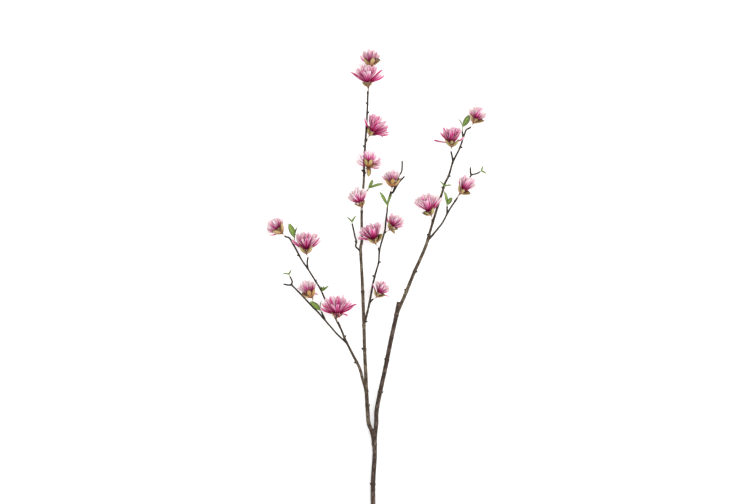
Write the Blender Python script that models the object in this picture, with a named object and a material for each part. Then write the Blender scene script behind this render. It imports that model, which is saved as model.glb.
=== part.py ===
"""A cut branch of pink star magnolia in bloom, lying on a flat surface.

The branch is one forked woody piece. Each flower is two pieces: a calyx of a pale neck, a small cup
and its bud scales, and a corolla of strap-shaped tepals round a central cone. Each leafy shoot is a
green stalk with its leaves.

The tables below are in millimetres in the lay-out frame: X across the branch, Y from the cut end to
the top flower, and Z up from the surface that it lies on. Everything built from them is in metres.
"""

import math
import random
from typing import NamedTuple

import bmesh
import bpy
from mathutils import Vector
from mathutils.kdtree import KDTree

MM = 0.001
SHARP_ANGLE = math.radians(50.0)  # edges that turn more than this are shaded sharp

# Middle of the branch's outline in the lay-out frame: the model's origin.
ORIGIN = Vector((10.0, 536.0, 0.0)) * MM

# Stems
STEM_STEP = 32.0 * MM  # spacing of a stem's rings
THICK_STEM = 4.3 * MM  # a stem that starts thicker than this gets eight sides, and a thinner one six
BUD_LENGTH = 3.6 * MM
BUD_FOOT = 1.7 * MM
BUD_TIP = 0.7 * MM
BUD_LEAN = 0.75  # how far a bud leans up its stem, where 1 is 45 degrees
BUD_SIDES = 4

# Flowers, with lengths as a share of the tepal length where they end in SHARE
SEAT_GAP = 0.5 * MM  # between the corolla and the cup that it sits on, and a neck and its twig
CUP_HEIGHT = 5.0 * MM
CUP_RADIUS = 3.9 * MM
NECK_RADIUS = 1.3 * MM
CONE_HEIGHT = 10.0 * MM
CONE_FOOT = 3.9 * MM
CONE_TOP = 2.4 * MM
CONE_SIDES = 6
TEPAL_THICKNESS = 1.0 * MM
TEPAL_ROOT_WIDTH = 1.8 * MM
TEPAL_WIDTH_SHARE = 0.245
TEPAL_ROWS = (0.0, 0.3, 0.7, 1.0)
TEPAL_TWIST = 42.0  # degrees by the tip, towards facing up, of a tepal at its flower's side
TEPAL_CUP = 0.1
TEPAL_BLUNTNESS = 0.12
TEPAL_ROOT_OUT = 0.8 * MM  # from the flower's axis
TIP_NARROWING = 0.3
SCALE_LENGTH = 23.0 * MM
SCALE_WIDTH = 15.0 * MM
SCALE_FOOT_WIDTH = 4.2 * MM
NARROW_SCALE = 0.7  # width of a scale that is folded far back, as a share of the others'
FOLDED_BACK = 60.0  # degrees from the axis past which a scale counts as folded back
SCALE_THICKNESS = 1.1 * MM
SCALE_ROWS = (0.0, 0.4, 0.78, 1.0)
SCALE_START = 54.0  # degrees from the flower's axis at a scale's foot
SCALE_CUP = 0.22
SCALE_SINK = 2.8 * MM  # of a scale's root below the rim of the cup
SCALE_ROOT_OUT = 1.2 * MM  # from the flower's axis

# Leaves
LEAF_THICKNESS = 0.9 * MM
LEAF_ROWS = (0.0, 0.32, 0.72, 1.0)
LEAF_CUP = 0.14
LEAF_ARCH = 16.0  # degrees that a leaf bends back from foot to tip
LEAF_FOOT_WIDTH = 1.3 * MM
SHOOT_RADIUS = 1.0 * MM
LEAF_SINK = 0.7 * MM  # of a leaf's root below the top of its stalk

# Whorls of tepals from the outer one inwards
WHORL_FIRST = (33.0, 22.0, 8.0)  # degrees from the flower's axis at the root
WHORL_OPENING = (1.0, 0.64, 0.3)  # share of the flower's opening at the tips
WHORL_LENGTH = (0.95, 1.0, 0.86)  # share of the tepal length
WHORL_HEIGHT = (1.8 * MM, 3.6 * MM, 5.6 * MM)  # of the roots, above the foot of the cone
STRAY_WIDTH = 0.8  # width of a stray tepal as a share of the others'

# Room that a blade keeps to the surface below and to every stem
BED_GAP = 0.6 * MM
WHORL_BED_GAP = 3.5 * MM  # added for each whorl further in
STEM_GAP = 1.4 * MM
TURNS = (0.0, 9.0, -9.0, 18.0, -18.0, 27.0, -27.0)  # degrees, tried before a tepal is closed up
CLOSINGS = (1.0, 0.88, 0.76, 0.64, 0.52, 0.4)  # shares of its opening, tried in turn

BARK = ("bark", (0.13, 0.085, 0.06), 0.85)
PINK = ("tepal_pink", (0.78, 0.25, 0.48), 0.6)
SCALE_TAN = ("scale_tan", (0.42, 0.30, 0.11), 0.65)
GREEN = ("leaf_green", (0.22, 0.42, 0.08), 0.55)

# Every stem as (x, y, z, radius), from where it leaves the one below it to its end.
STEMS = {
    "right_leader": [
        (1, -60, 5.3, 5.7), (0, 45, 8, 5.5), (4, 115, 9.5, 5.2), (4, 160, 11, 5.4), (8, 200, 12, 4.8),
        (9, 232, 13, 4.7), (18, 280, 14.5, 4.6), (30, 335, 16, 4.6), (45, 410, 18, 4.7),
        (56, 460, 19.5, 4.6), (65, 505, 21, 4.5),
    ],
    "right_upper": [
        (58, 472, 19.5, 3.4), (72, 504, 22, 3.6), (81, 525, 22.5, 3.5), (103, 579, 23, 3.4),
        (118, 612, 23.5, 3.3), (133, 648, 24, 3.2), (144, 686, 25, 2.7), (160, 739, 26, 2.6),
        (173, 779, 26.5, 2.5), (179, 800, 27, 2.4), (190, 823, 27, 2.3), (200, 856, 27.5, 2.2),
        (216, 888, 27, 1.9), (227, 920, 26, 1.7), (233, 935, 25.5, 1.6), (240, 939, 25.5, 1.4),
        (245, 943, 25.5, 1.3),
    ],
    "left_leader": [
        (4, 146, 10.5, 4.2), (-3, 180, 13, 4.4), (-11, 201, 14, 4.2), (-14, 240, 15, 4.1),
        (-17, 290, 16, 3.9), (-18, 322, 17, 3.5), (-21, 385, 18.5, 3.4), (-23, 455, 20, 3.3),
        (-27, 560, 22, 3.1), (-31, 635, 24, 3.0), (-28, 660, 24.5, 2.9), (-28, 735, 26, 2.7),
        (-23, 810, 28, 2.4), (-22, 860, 29, 2.3), (-17, 935, 29, 2.1), (-14, 990, 28, 2.0),
        (-12.5, 1030, 26, 1.9), (-9, 1062, 22, 1.6), (-6, 1080, 20, 1.4),
    ],
    "left_arm": [
        (-17, 282, 16, 2.8), (-25, 308, 18.5, 3.0), (-34, 340, 20, 2.9), (-50, 372, 22, 2.8),
        (-69, 410, 24, 2.5), (-79, 435, 26, 2.2), (-93, 463, 28, 2.1), (-106, 490, 29.5, 2.0),
        (-119, 511, 31, 2.0), (-131, 537, 32, 1.9), (-145, 560, 32, 1.8), (-162, 587, 31, 1.8),
        (-178, 610, 29.5, 1.6), (-194, 640, 28, 1.5), (-201, 652, 27, 1.5), (-209, 665, 26, 1.4),
        (-218, 668, 25, 1.3), (-221, 671, 25, 1.2),
    ],
    "lower_arm": [
        (-66, 403, 23.5, 1.9), (-89, 424, 24, 2.0), (-111, 449, 24, 1.9), (-137, 479, 24, 1.8),
        (-153, 495, 24, 1.7), (-178, 522, 24, 1.5), (-193, 537, 24, 1.4), (-203, 548, 24, 1.4),
        (-202, 557, 24.5, 1.2), (-208, 569, 25, 1.0),
    ],
    "middle_arm": [
        (-23.5, 446, 19.8, 2.4), (-17.5, 466, 22, 2.6), (-13, 484, 23.5, 2.5), (-8, 507, 25, 2.3),
        (0, 551, 27, 2.2), (9, 586, 28.5, 2.1), (14, 604, 29.5, 2.0), (16.5, 635, 31, 1.9),
        (26, 670, 33, 1.8), (30, 685, 33.5, 1.8), (32.5, 712, 34, 1.6), (35, 730, 34, 1.5),
        (37, 750, 34, 1.5), (42, 771, 34, 1.4), (51, 780, 35, 1.2), (60, 796, 38, 1.1),
        (67, 806, 39, 1.0), (79, 819, 40, 0.8),
    ],
    "right_arm": [
        (136, 660, 24.5, 2.5), (146, 669, 26, 2.4), (157, 682, 27, 2.2), (170, 698, 27.5, 2.1),
        (177.5, 710, 28, 2.0), (185.5, 726, 28, 1.9), (195, 742, 28, 1.7), (204.5, 756, 27, 1.6),
        (213, 769, 23.5, 1.3), (222, 784, 18.5, 1.2), (231, 800, 17.5, 1.2), (243, 818, 21, 1.1),
        (247, 823, 23, 1.1), (259, 826, 24, 1.0), (268, 831, 25, 0.9),
    ],
    "left_twig": [
        (-30, 626, 24, 1.9), (-34, 634.5, 25, 1.8), (-43, 644, 26.5, 1.6), (-41.5, 656, 27, 1.4),
        (-45, 668, 27.5, 1.3), (-47.5, 680, 28, 1.3), (-51, 696, 28, 1.1), (-52, 701, 28, 1.0),
    ],
    "far_left_twig": [(-203, 548, 24, 1.1), (-213, 547.5, 25, 0.9), (-221, 549.5, 26, 0.7)],
    "far_right_twig": [(246.5, 822, 23, 0.9), (244, 828, 24, 0.8), (243.5, 839, 25, 0.6)],
    "high_twig": [
        (50, 779, 34.6, 0.9), (57, 800, 27, 0.9), (66, 822, 24, 0.8), (72, 833, 24.5, 0.8),
        (73, 855, 25, 0.6),
    ],
    "stalk_02": [(-13, 1026, 26.5, 1.5), (-12.8, 1032, 30, 1.3)],
    "stalk_03": [(-18, 906, 29, 1.5), (-14.5, 913, 31, 1.3)],
    "stalk_04": [(-22.5, 820, 28, 1.5), (-21, 825, 34, 1.4), (-18, 829.5, 39, 1.3)],
    "stalk_05": [(-27.5, 730, 26, 1.6), (-27.5, 735, 31, 1.3)],
    "stalk_06": [(16.5, 631, 31, 1.6), (13, 641, 31.5, 1.3)],
    "stalk_07": [(43, 772, 34, 1.3), (45, 782, 33.5, 1.3)],
    "stalk_08": [(28.5, 679, 33.2, 1.6), (33.5, 681, 32.5, 1.3)],
    "stalk_09": [(-8.5, 503, 25, 1.6), (-3, 509.5, 26.5, 1.4), (1.5, 512.5, 27, 1.3)],
    "stalk_10": [(200, 855, 27.5, 1.7), (197.5, 869, 28.5, 1.4), (194.5, 882, 29.5, 1.3)],
    "stalk_12": [(149, 703, 25.5, 1.6), (148, 713, 28.5, 1.3)],
    "stalk_13": [(205, 757, 27, 1.4), (211.5, 766.5, 31, 1.3)],
    "stalk_15": [(-163, 588, 31, 1.6), (-164, 604, 33, 1.4), (-162, 618, 34, 1.3)],
    "stalk_16": [(-147, 489, 24, 1.5), (-149.5, 502, 25, 1.3)],
    "stalk_17": [(-83, 444, 26.8, 1.7), (-87.5, 456.5, 31.5, 1.3)],
    "shoot_twig_a": [(-27, 763, 27, 1.5), (-19.5, 778, 29, 1.2), (-13, 785, 30, 1.0)],
    "shoot_twig_d": [(226, 915, 26, 1.2), (223.5, 925, 27, 1.0), (223.3, 932, 28, 1.0)],
    "shoot_twig_e": [(185.5, 725, 28, 1.3), (185, 736, 30, 1.1), (185, 745, 31, 1.0)],
    "shoot_twig_h": [(-200, 650, 27.2, 1.2), (-197, 658.5, 28.5, 1.0)],
    "shoot_twig_k": [(-121, 462, 24, 1.3), (-129, 481, 26.5, 1.0)],
}

# Buds and leaf scars, as (stem, y where it stands, side: -1 left or 1 right, lift towards the viewer)
BUDS = [
    ("right_leader", 46, -1, 0.2), ("right_leader", 279, 1, 0.0), ("right_leader", 360, -1, 0.3),
    ("right_upper", 533, -1, 0.2), ("right_upper", 581, 1, 0.3), ("right_upper", 671, -1, 0.0),
    ("right_upper", 820, 1, 0.0), ("right_upper", 891, 1, 0.2), ("right_upper", 789, -1, 0.3),
    ("left_leader", 244, 1, 0.1), ("left_leader", 387, -1, 0.2), ("left_leader", 530, -1, 1.2),
    ("left_leader", 831, -1, 0.3), ("left_leader", 893, -1, 0.1), ("left_leader", 977, 1, 0.6),
    ("left_leader", 1000, -1, 0.0), ("middle_arm", 455, 1, 0.2), ("middle_arm", 568, -1, 0.1),
    ("middle_arm", 604, 1, 0.1), ("left_arm", 354, -1, 0.2), ("left_arm", 417, 1, 0.0),
    ("left_arm", 557, 1, 0.4), ("left_arm", 621, -1, 0.3), ("left_twig", 655, -1, 0.3),
]


class Flower(NamedTuple):
    """One flower: where it sits, which way it faces and how it opens.

    foot is the bottom of its cup. opening is the angle from the axis that its outer tepals end at.
    scales are (turn, spread) pairs and strays are (turn, first angle, last angle, length share) of
    single tepals. A turn is in degrees round the axis, from the side that faces up; 90 is the right
    of a flower that points along Y.
    """

    twig: str
    foot: tuple
    axis: tuple
    tepal: float
    opening: float
    whorls: tuple
    scales: tuple
    strays: tuple = ()


LARGE = (5, 4, 2)
SMALL = (4, 3, 2)

FLOWERS = {
    "01": Flower("left_leader", (-6, 1091, 20), (-0.05, 1, 0.08), 38, 54, SMALL,
                 ((-54, 40), (34, 32), (92, 74), (190, 30)), ((64, 34, 36, 1.0), (108, 50, 60, 0.85))),
    "02": Flower("stalk_02", (-13, 1041, 33.5), (-0.05, 1, 0.34), 51, 68, LARGE,
                 ((-60, 48), (4, 34), (58, 46), (190, 30)), ((98, 46, 58, 1.0), (-96, 50, 62, 0.98))),
    "03": Flower("stalk_03", (-9.5, 920, 33), (0.5, 0.86, 0.22), 51, 62, LARGE,
                 ((-50, 34), (20, 34), (150, 40), (-140, 34)), ((98, 70, 92, 0.62),)),
    "04": Flower("stalk_04", (-12, 836.5, 46), (0.08, 0.8, -0.56), 42, 72, LARGE,
                 ((-48, 42), (30, 36), (88, 66), (14, 128), (180, 32))),
    "05": Flower("stalk_05", (-27.5, 742, 37), (-0.35, 0.93, 0.24), 44, 56, SMALL,
                 ((-70, 54), (2, 34), (62, 42), (180, 30))),
    "06": Flower("stalk_06", (7, 649.5, 32), (-0.26, 0.96, 0.18), 50, 58, LARGE,
                 ((-56, 42), (26, 34), (80, 44), (180, 30)),
                 ((-98, 66, 78, 1.04), (-122, 70, 90, 0.88))),
    "07": Flower("stalk_07", (47.5, 790, 33.5), (0.02, 1, 0.08), 39, 52, SMALL,
                 ((-60, 42), (6, 30), (68, 38), (190, 30))),
    "08": Flower("stalk_08", (40.5, 684.5, 31.5), (0.6, 0.8, 0.14), 40, 58, SMALL,
                 ((-58, 40), (8, 32), (66, 54), (104, 100), (185, 30))),
    "09": Flower("stalk_09", (8, 516.5, 28), (0.5, 0.86, 0.1), 39, 50, SMALL,
                 ((-62, 42), (8, 32), (76, 44), (180, 30)), ((106, 50, 58, 0.8),)),
    "10": Flower("stalk_10", (196, 890.5, 30), (0.02, 1, 0.2), 52, 60, LARGE,
                 ((-56, 42), (3, 30), (58, 44), (180, 30)), ((-98, 66, 76, 0.96),)),
    "11": Flower("right_upper", (250, 950.5, 26), (0.42, 0.9, 0.1), 40, 54, SMALL,
                 ((-62, 40), (22, 34), (80, 60), (180, 30))),
    "12": Flower("stalk_12", (146, 720.5, 32), (-0.42, 0.9, 0.22), 52, 58, LARGE,
                 ((-50, 36), (42, 36), (-100, 46), (180, 30))),
    "13": Flower("stalk_13", (217, 774, 34), (0.56, 0.83, 0.18), 42, 56, SMALL,
                 ((-70, 44), (6, 32), (84, 62), (180, 30))),
    "14": Flower("left_arm", (-225, 675, 25), (-0.7, 0.71, 0.08), 38, 54, SMALL,
                 ((58, 42), (-36, 38), (12, 30), (180, 30))),
    "15": Flower("stalk_15", (-166, 623.5, 34), (0.02, 1, 0.16), 54, 58, LARGE,
                 ((-50, 42), (50, 42), (180, 30)), ((-96, 54, 60, 1.0),)),
    "16": Flower("stalk_16", (-151, 514.5, 26), (-0.45, 0.89, 0.06), 40, 50, SMALL,
                 ((-4, 32), (-78, 50), (50, 58), (208, 30)), ((127, 100, 136, 0.5),)),
    "17": Flower("stalk_17", (-91, 465, 36), (0.1, 1, 0.28), 54, 66, LARGE,
                 ((-58, 40), (56, 58)),
                 ((98, 52, 62, 1.04), (142, 88, 104, 0.8), (-142, 104, 130, 0.5))),
}

# The two outermost flowers lean on the surface with one tepal each; the cut end is the third support.
LEANING = ("11", "14")
LEAN_DEPTH = 0.15 * MM  # how far that tepal would sink in, before it is pressed flat


class Leaf(NamedTuple):
    """One leaf: its tip, its widest width, and how far it is rolled from facing up, in degrees."""

    tip: tuple
    width: float
    roll: float


class Shoot(NamedTuple):
    """A leafy shoot: the twig that it grows on, its green stalk and its leaves."""

    twig: str
    stalk: list
    leaves: list


SHOOTS = {
    "a": Shoot("shoot_twig_a", [(-13, 785, 30), (-10.5, 789.5, 31.5)],
               [Leaf((-2, 811, 38), 9, 25), Leaf((25, 801, 33), 8, -30)]),
    "b": Shoot("middle_arm", [(35.4, 741, 36.4), (35.8, 747, 38.3)],
               [Leaf((16, 779, 42), 8.5, 20), Leaf((46, 773, 47), 7.5, -35)]),
    "c": Shoot("left_twig", [(-52, 701, 28), (-52.6, 706, 28.4)],
               [Leaf((-66, 718, 30), 4.2, 55), Leaf((-42.5, 721, 31), 4.2, -50)]),
    "d": Shoot("shoot_twig_d", [(223.3, 932, 28), (224, 943, 30)],
               [Leaf((240, 972, 35), 12.5, 10), Leaf((211.5, 963, 33), 6.5, 74)]),
    "e": Shoot("shoot_twig_e", [(185, 745, 31), (185, 748, 32)],
               [Leaf((177.5, 781, 35), 8, 38), Leaf((197.5, 766, 37), 9.5, -12)]),
    "f": Shoot("right_arm", [(268, 831, 25), (271, 833, 25.6)],
               [Leaf((273.5, 846, 28), 4.2, 48), Leaf((284.5, 825, 27), 4.2, -52)]),
    "h": Shoot("shoot_twig_h", [(-197, 658.5, 28.5), (-196, 666, 30)],
               [Leaf((-208.5, 702, 34), 13.5, 8), Leaf((-187, 694, 34), 6.5, -76)]),
    "i": Shoot("lower_arm", [(-208, 569, 25), (-210.5, 575, 25.6)],
               [Leaf((-226, 577, 27), 4.2, 50), Leaf((-203, 586, 28), 4.2, -48)]),
    "j": Shoot("left_arm", [(-127.2, 531.5, 34.1), (-125, 534, 36.6)],
               [Leaf((-110, 546, 39), 5.5, -30), Leaf((-131, 545, 40), 4.5, 40),
                Leaf((-122.5, 545.5, 42), 4.5, -10)]),
    "k": Shoot("shoot_twig_k", [(-129, 481, 26.5), (-130.5, 484.5, 28.5)],
               [Leaf((-156, 508, 37), 11.5, 12), Leaf((-128, 509, 36), 6, -76)]),
    "m": Shoot("right_upper", [(178.6, 792, 30), (178.2, 794.5, 32)],
               [Leaf((166, 807, 35), 4.8, 46), Leaf((197, 797, 36), 4.8, -46)]),
}


def at(point):
    """A lay-out point in millimetres as a point of the model in metres."""
    return Vector(point[:3]) * MM - ORIGIN


def clear_scene():
    """Removes what the start-up file holds."""
    for obj in list(bpy.data.objects):
        bpy.data.objects.remove(obj)


def material(kind):
    """The Principled material of a (name, colour, roughness) kind, made once."""
    name, colour, roughness = kind
    found = bpy.data.materials.get(name)
    if found:
        return found
    made = bpy.data.materials.new(name)
    made.use_nodes = True
    shader = made.node_tree.nodes["Principled BSDF"]
    shader.inputs["Base Color"].default_value = (*colour, 1.0)
    shader.inputs["Roughness"].default_value = roughness
    shader.inputs["Metallic"].default_value = 0.0
    return made


def smooth_route(points, step):
    """A smooth curve through (place, radius) pairs, with a pair about every step along it."""
    ends = [points[0]] + list(points) + [points[-1]]
    route = []
    for (p0, _), (p1, r1), (p2, r2), (p3, _) in zip(ends, ends[1:], ends[2:], ends[3:]):
        count = max(1, round((p2 - p1).length / step))
        for i in range(count):
            t = i / count
            place = 0.5 * (2 * p1 + (p2 - p0) * t + (2 * p0 - 5 * p1 + 4 * p2 - p3) * t**2
                           + (3 * p1 - p0 - 3 * p2 + p3) * t**3)
            route.append((place, r1 + (r2 - r1) * t))
    return route + [points[-1]]


def tube(route, resolution):
    """The closed mesh of a round tube along (place, radius) pairs."""
    curve = bpy.data.curves.new("route", "CURVE")
    curve.dimensions = "3D"
    curve.bevel_depth = 1.0
    curve.bevel_resolution = resolution
    curve.use_fill_caps = True
    spline = curve.splines.new("POLY")
    spline.points.add(len(route) - 1)
    for point, (place, radius) in zip(spline.points, route):
        point.co = (*place, 1.0)
        point.radius = radius
    holder = bpy.data.objects.new("route", curve)
    mesh = bpy.data.meshes.new_from_object(holder)
    bpy.data.objects.remove(holder)
    shape = bmesh.new()
    shape.from_mesh(mesh)
    bmesh.ops.remove_doubles(shape, verts=shape.verts, dist=0.01 * MM)
    bmesh.ops.recalc_face_normals(shape, faces=shape.faces)
    shape.to_mesh(mesh)
    shape.free()
    return mesh


def cone(foot, top, foot_radius, top_radius, sides):
    """The closed mesh of a blunt cone between two places."""
    shape = bmesh.new()
    along = top - foot
    placed = along.to_track_quat("Z", "Y").to_matrix().to_4x4()
    placed.translation = (foot + top) / 2
    bmesh.ops.create_cone(shape, cap_ends=True, segments=sides, radius1=foot_radius,
                          radius2=top_radius, depth=along.length, matrix=placed)
    mesh = bpy.data.meshes.new("cone")
    shape.to_mesh(mesh)
    shape.free()
    return mesh


class Blade:
    """A thin blade that bends away from a straight line: a tepal, a bud scale or a leaf.

    It starts at root and heads along forward, turned towards outward by an angle that grows from
    first to last. spread gives its width at a share of its length, cup how far its edges rise
    towards forward, blunt how far its corners are drawn back, and twist its roll by the tip.
    """

    STEPS = 24
    HOLD = 0.15  # share of the length before the angle starts to grow

    def __init__(self, root, forward, outward, length, first, last, spread, cup, blunt=0, twist=0):
        self.forward = forward.normalized()
        self.outward = (outward - outward.dot(self.forward) * self.forward).normalized()
        self.side = self.forward.cross(self.outward)
        self.length, self.first, self.last = length, math.radians(first), math.radians(last)
        self.spread, self.cup, self.blunt, self.twist = spread, cup, blunt, math.radians(twist)
        self.rib = [root]
        for i in range(self.STEPS):
            heading = self.heading((i + 0.5) / self.STEPS)
            self.rib.append(self.rib[-1] + heading * length / self.STEPS)

    def angle(self, share):
        """How far the rib is turned from forward at a share of its length."""
        x = min(1.0, max(0.0, (share - self.HOLD) / (1 - self.HOLD)))
        return self.first + (self.last - self.first) * x * x * (3 - 2 * x)

    def heading(self, share):
        """Which way the rib runs at a share of its length."""
        return math.cos(self.angle(share)) * self.forward + math.sin(self.angle(share)) * self.outward

    def point(self, share, across, lift=0.0):
        """A point of the blade: across runs from -1 to 1, and lift moves it off the surface."""
        share_here = share - self.blunt * across**2 * share**3
        place = share_here * self.STEPS
        i = min(int(place), self.STEPS - 1)
        rib = self.rib[i].lerp(self.rib[i + 1], place - i)
        out = math.cos(self.angle(share)) * self.outward - math.sin(self.angle(share)) * self.forward
        roll = self.twist * share
        side = math.cos(roll) * self.side - math.sin(roll) * out
        facing = math.cos(roll) * out + math.sin(roll) * self.side
        half = self.spread(share) / 2
        return rib + side * across * half - facing * (self.cup * 2 * half * across**2 - lift)

    def samples(self):
        """Points that stand for the blade where its room is tested."""
        shares = (0.35, 0.55, 0.75, 0.9, 1.0)
        return [self.point(share, across) for share in shares for across in (-1, 0, 1)]

    def mesh(self, rows, thickness, hollow):
        """The closed mesh: thickest on the rib, sharp at its two edges, and flat or hollow inside.

        A blade whose width runs out at its tip ends in one point there.
        """
        shape = bmesh.new()
        rings = []
        for share in rows:
            lift = thickness / 2 if self.spread(share) > 0 else 0.0
            corners = [self.point(share, -1), self.point(share, 0, lift), self.point(share, 1)]
            if hollow:
                corners.append(self.point(share, 0, -lift))
            rings.append([shape.verts.new(corner) for corner in corners])
        for low, high in zip(rings, rings[1:]):
            for edge, rib in ((0, 1), (2, 1)) + (((0, 3), (2, 3)) if hollow else ((0, 2),)):
                shape.faces.new((low[edge], low[rib], high[rib]))
                shape.faces.new((low[edge], high[rib], high[edge]))
        for ring in (rings[0], rings[-1]):
            for corners in ((0, 1, 3), (1, 2, 3)) if hollow else ((0, 1, 2),):
                shape.faces.new([ring[i] for i in corners])
        bmesh.ops.remove_doubles(shape, verts=shape.verts, dist=0.01 * MM)
        bmesh.ops.recalc_face_normals(shape, faces=shape.faces)
        mesh = bpy.data.meshes.new("blade")
        shape.to_mesh(mesh)
        shape.free()
        return mesh


def tepal_spread(width):
    """The width of a strap-shaped tepal along its length."""
    def spread(share):
        if share < 0.62:
            swell = math.sin(math.pi / 2 * share / 0.62) ** 1.5
            return TEPAL_ROOT_WIDTH + (width - TEPAL_ROOT_WIDTH) * swell
        return width * (1 - TIP_NARROWING * ((share - 0.62) / 0.38) ** 2)
    return spread


def pointed_spread(width, foot, widest):
    """The width of a leaf or a scale, from its foot to its point, widest at that share."""
    def spread(share):
        if share < widest:
            return foot + (width - foot) * math.sin(math.pi / 2 * share / widest)
        return width * (1 - ((share - widest) / (1 - widest)) ** 2)
    return spread


def fuse(name, meshes, kind):
    """One object of a single body, made by a union of closed meshes that overlap.

    What would sink into the surface is pressed flat on it.
    """
    parts = bpy.data.collections.new(name + "_parts")
    bpy.context.scene.collection.children.link(parts)
    base = bpy.data.objects.new(name, meshes[0])
    bpy.context.scene.collection.objects.link(base)
    helpers = [bpy.data.objects.new(f"{name}_part_{i}", mesh) for i, mesh in enumerate(meshes[1:])]
    for helper in helpers:
        parts.objects.link(helper)
    union = base.modifiers.new("union", "BOOLEAN")
    union.operation = "UNION"
    union.operand_type = "COLLECTION"
    union.collection = parts
    union.solver = "EXACT"
    bpy.context.view_layer.update()
    joined = bpy.data.meshes.new_from_object(base.evaluated_get(bpy.context.evaluated_depsgraph_get()))
    base.modifiers.clear()
    for helper in helpers:
        bpy.data.objects.remove(helper)
    bpy.data.collections.remove(parts)
    for vert in joined.vertices:
        vert.co.z = max(vert.co.z, 0.0)
    base.data = joined
    joined.name = name
    joined.shade_smooth()
    joined.set_sharp_from_angle(angle=SHARP_ANGLE)
    joined.materials.clear()
    joined.materials.append(material(kind))
    return base


def stem_routes():
    """Every stem's smooth route as (place, radius) pairs in metres."""
    return {
        name: smooth_route([(at(p), p[3] * MM) for p in points], STEM_STEP)
        for name, points in STEMS.items()
    }


def stem_finder(routes):
    """A tree of places close together along every stem, and the stem's radius at each."""
    places = []
    for route in routes.values():
        for (start, start_radius), (end, end_radius) in zip(route, route[1:]):
            count = max(1, round((end - start).length / (2 * MM)))
            for i in range(count + 1):
                radius = start_radius + (end_radius - start_radius) * i / count
                places.append((start.lerp(end, i / count), radius))
    tree = KDTree(len(places))
    for i, (place, _) in enumerate(places):
        tree.insert(place, i)
    tree.balance()
    return tree, [radius for _, radius in places]


def bud_meshes(routes):
    """A blunt cone for each bud or leaf scar, sunk into the stem that it stands on."""
    meshes = []
    for name, height, side, lift in BUDS:
        route = routes[name]
        level = height * MM - ORIGIN.y
        i = min(range(1, len(route)), key=lambda j: abs((route[j - 1][0].y + route[j][0].y) / 2 - level))
        (low, low_radius), (high, high_radius) = route[i - 1], route[i]
        share = min(1.0, max(0.0, (level - low.y) / max(high.y - low.y, 1e-6)))
        centre, radius = low.lerp(high, share), low_radius + (high_radius - low_radius) * share
        along = (high - low).normalized()
        out = (Vector((side, 0.0, 0.0)) + Vector((0.0, 0.0, lift))).normalized()
        out = (out - out.dot(along) * along).normalized()
        tip = centre + out * radius + (out + BUD_LEAN * along).normalized() * BUD_LENGTH
        foot_radius = min(BUD_FOOT, radius * 0.85)
        meshes.append(cone(centre + out * radius * 0.3, tip, foot_radius, BUD_TIP, BUD_SIDES))
    return meshes


def build_branch(routes):
    """The forked woody stem with all its twigs, stalks and buds, as one body."""
    meshes = [tube(route, 2 if route[0][1] > THICK_STEM else 1) for route in routes.values()]
    return fuse("branch", meshes + bud_meshes(routes), BARK)


def flower_frame(flower):
    """A flower's axis, its side that faces up and its right-hand side, as unit vectors."""
    axis = Vector(flower.axis).normalized()
    up = Vector((0.0, 0.0, 1.0))
    facing = (up - up.dot(axis) * axis).normalized()
    return axis, facing, axis.cross(facing)


def outward_at(flower, turn):
    """The direction away from a flower's axis at a turn in degrees."""
    _, facing, right = flower_frame(flower)
    return facing * math.cos(math.radians(turn)) + right * math.sin(math.radians(turn))


def has_room(blade, finder, bed_gap):
    """Whether a blade stays above the surface and clear of every stem."""
    tree, radii = finder
    for place in blade.samples():
        if place.z < bed_gap:
            return False
        _, i, distance = tree.find(place)
        if distance < radii[i] + STEM_GAP:
            return False
    return True


def tepal(flower, height, turn, first, last, length, width):
    """One tepal, rooted in the central cone at a height above the cup."""
    axis, _, _ = flower_frame(flower)
    outward = outward_at(flower, turn)
    seat = at(flower.foot) + axis * (CUP_HEIGHT + SEAT_GAP + height) + outward * TEPAL_ROOT_OUT
    twist = TEPAL_TWIST * math.sin(math.radians(turn))
    return Blade(seat, axis, outward, length, first, last, tepal_spread(width), TEPAL_CUP,
                 TEPAL_BLUNTNESS, twist)


def fitted_tepal(flower, finder, bed_gap, height, turn, first, last, length, width):
    """A tepal that is turned aside or closed up until it has room."""
    for closing in CLOSINGS:
        for aside in TURNS:
            blade = tepal(flower, height, turn + aside, first * closing, last * closing, length, width)
            if has_room(blade, finder, bed_gap):
                return blade
    return None


def leaning_tepal(flower, length, width):
    """The lowest tepal, opened until it presses a little into the surface."""
    low, high = 30.0, 150.0
    for _ in range(16):
        middle = (low + high) / 2
        blade = tepal(flower, WHORL_HEIGHT[0], 180, WHORL_FIRST[0], middle, length, width)
        if min(place.z for place in blade.samples()) > -LEAN_DEPTH:
            low = middle
        else:
            high = middle
    return blade


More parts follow.
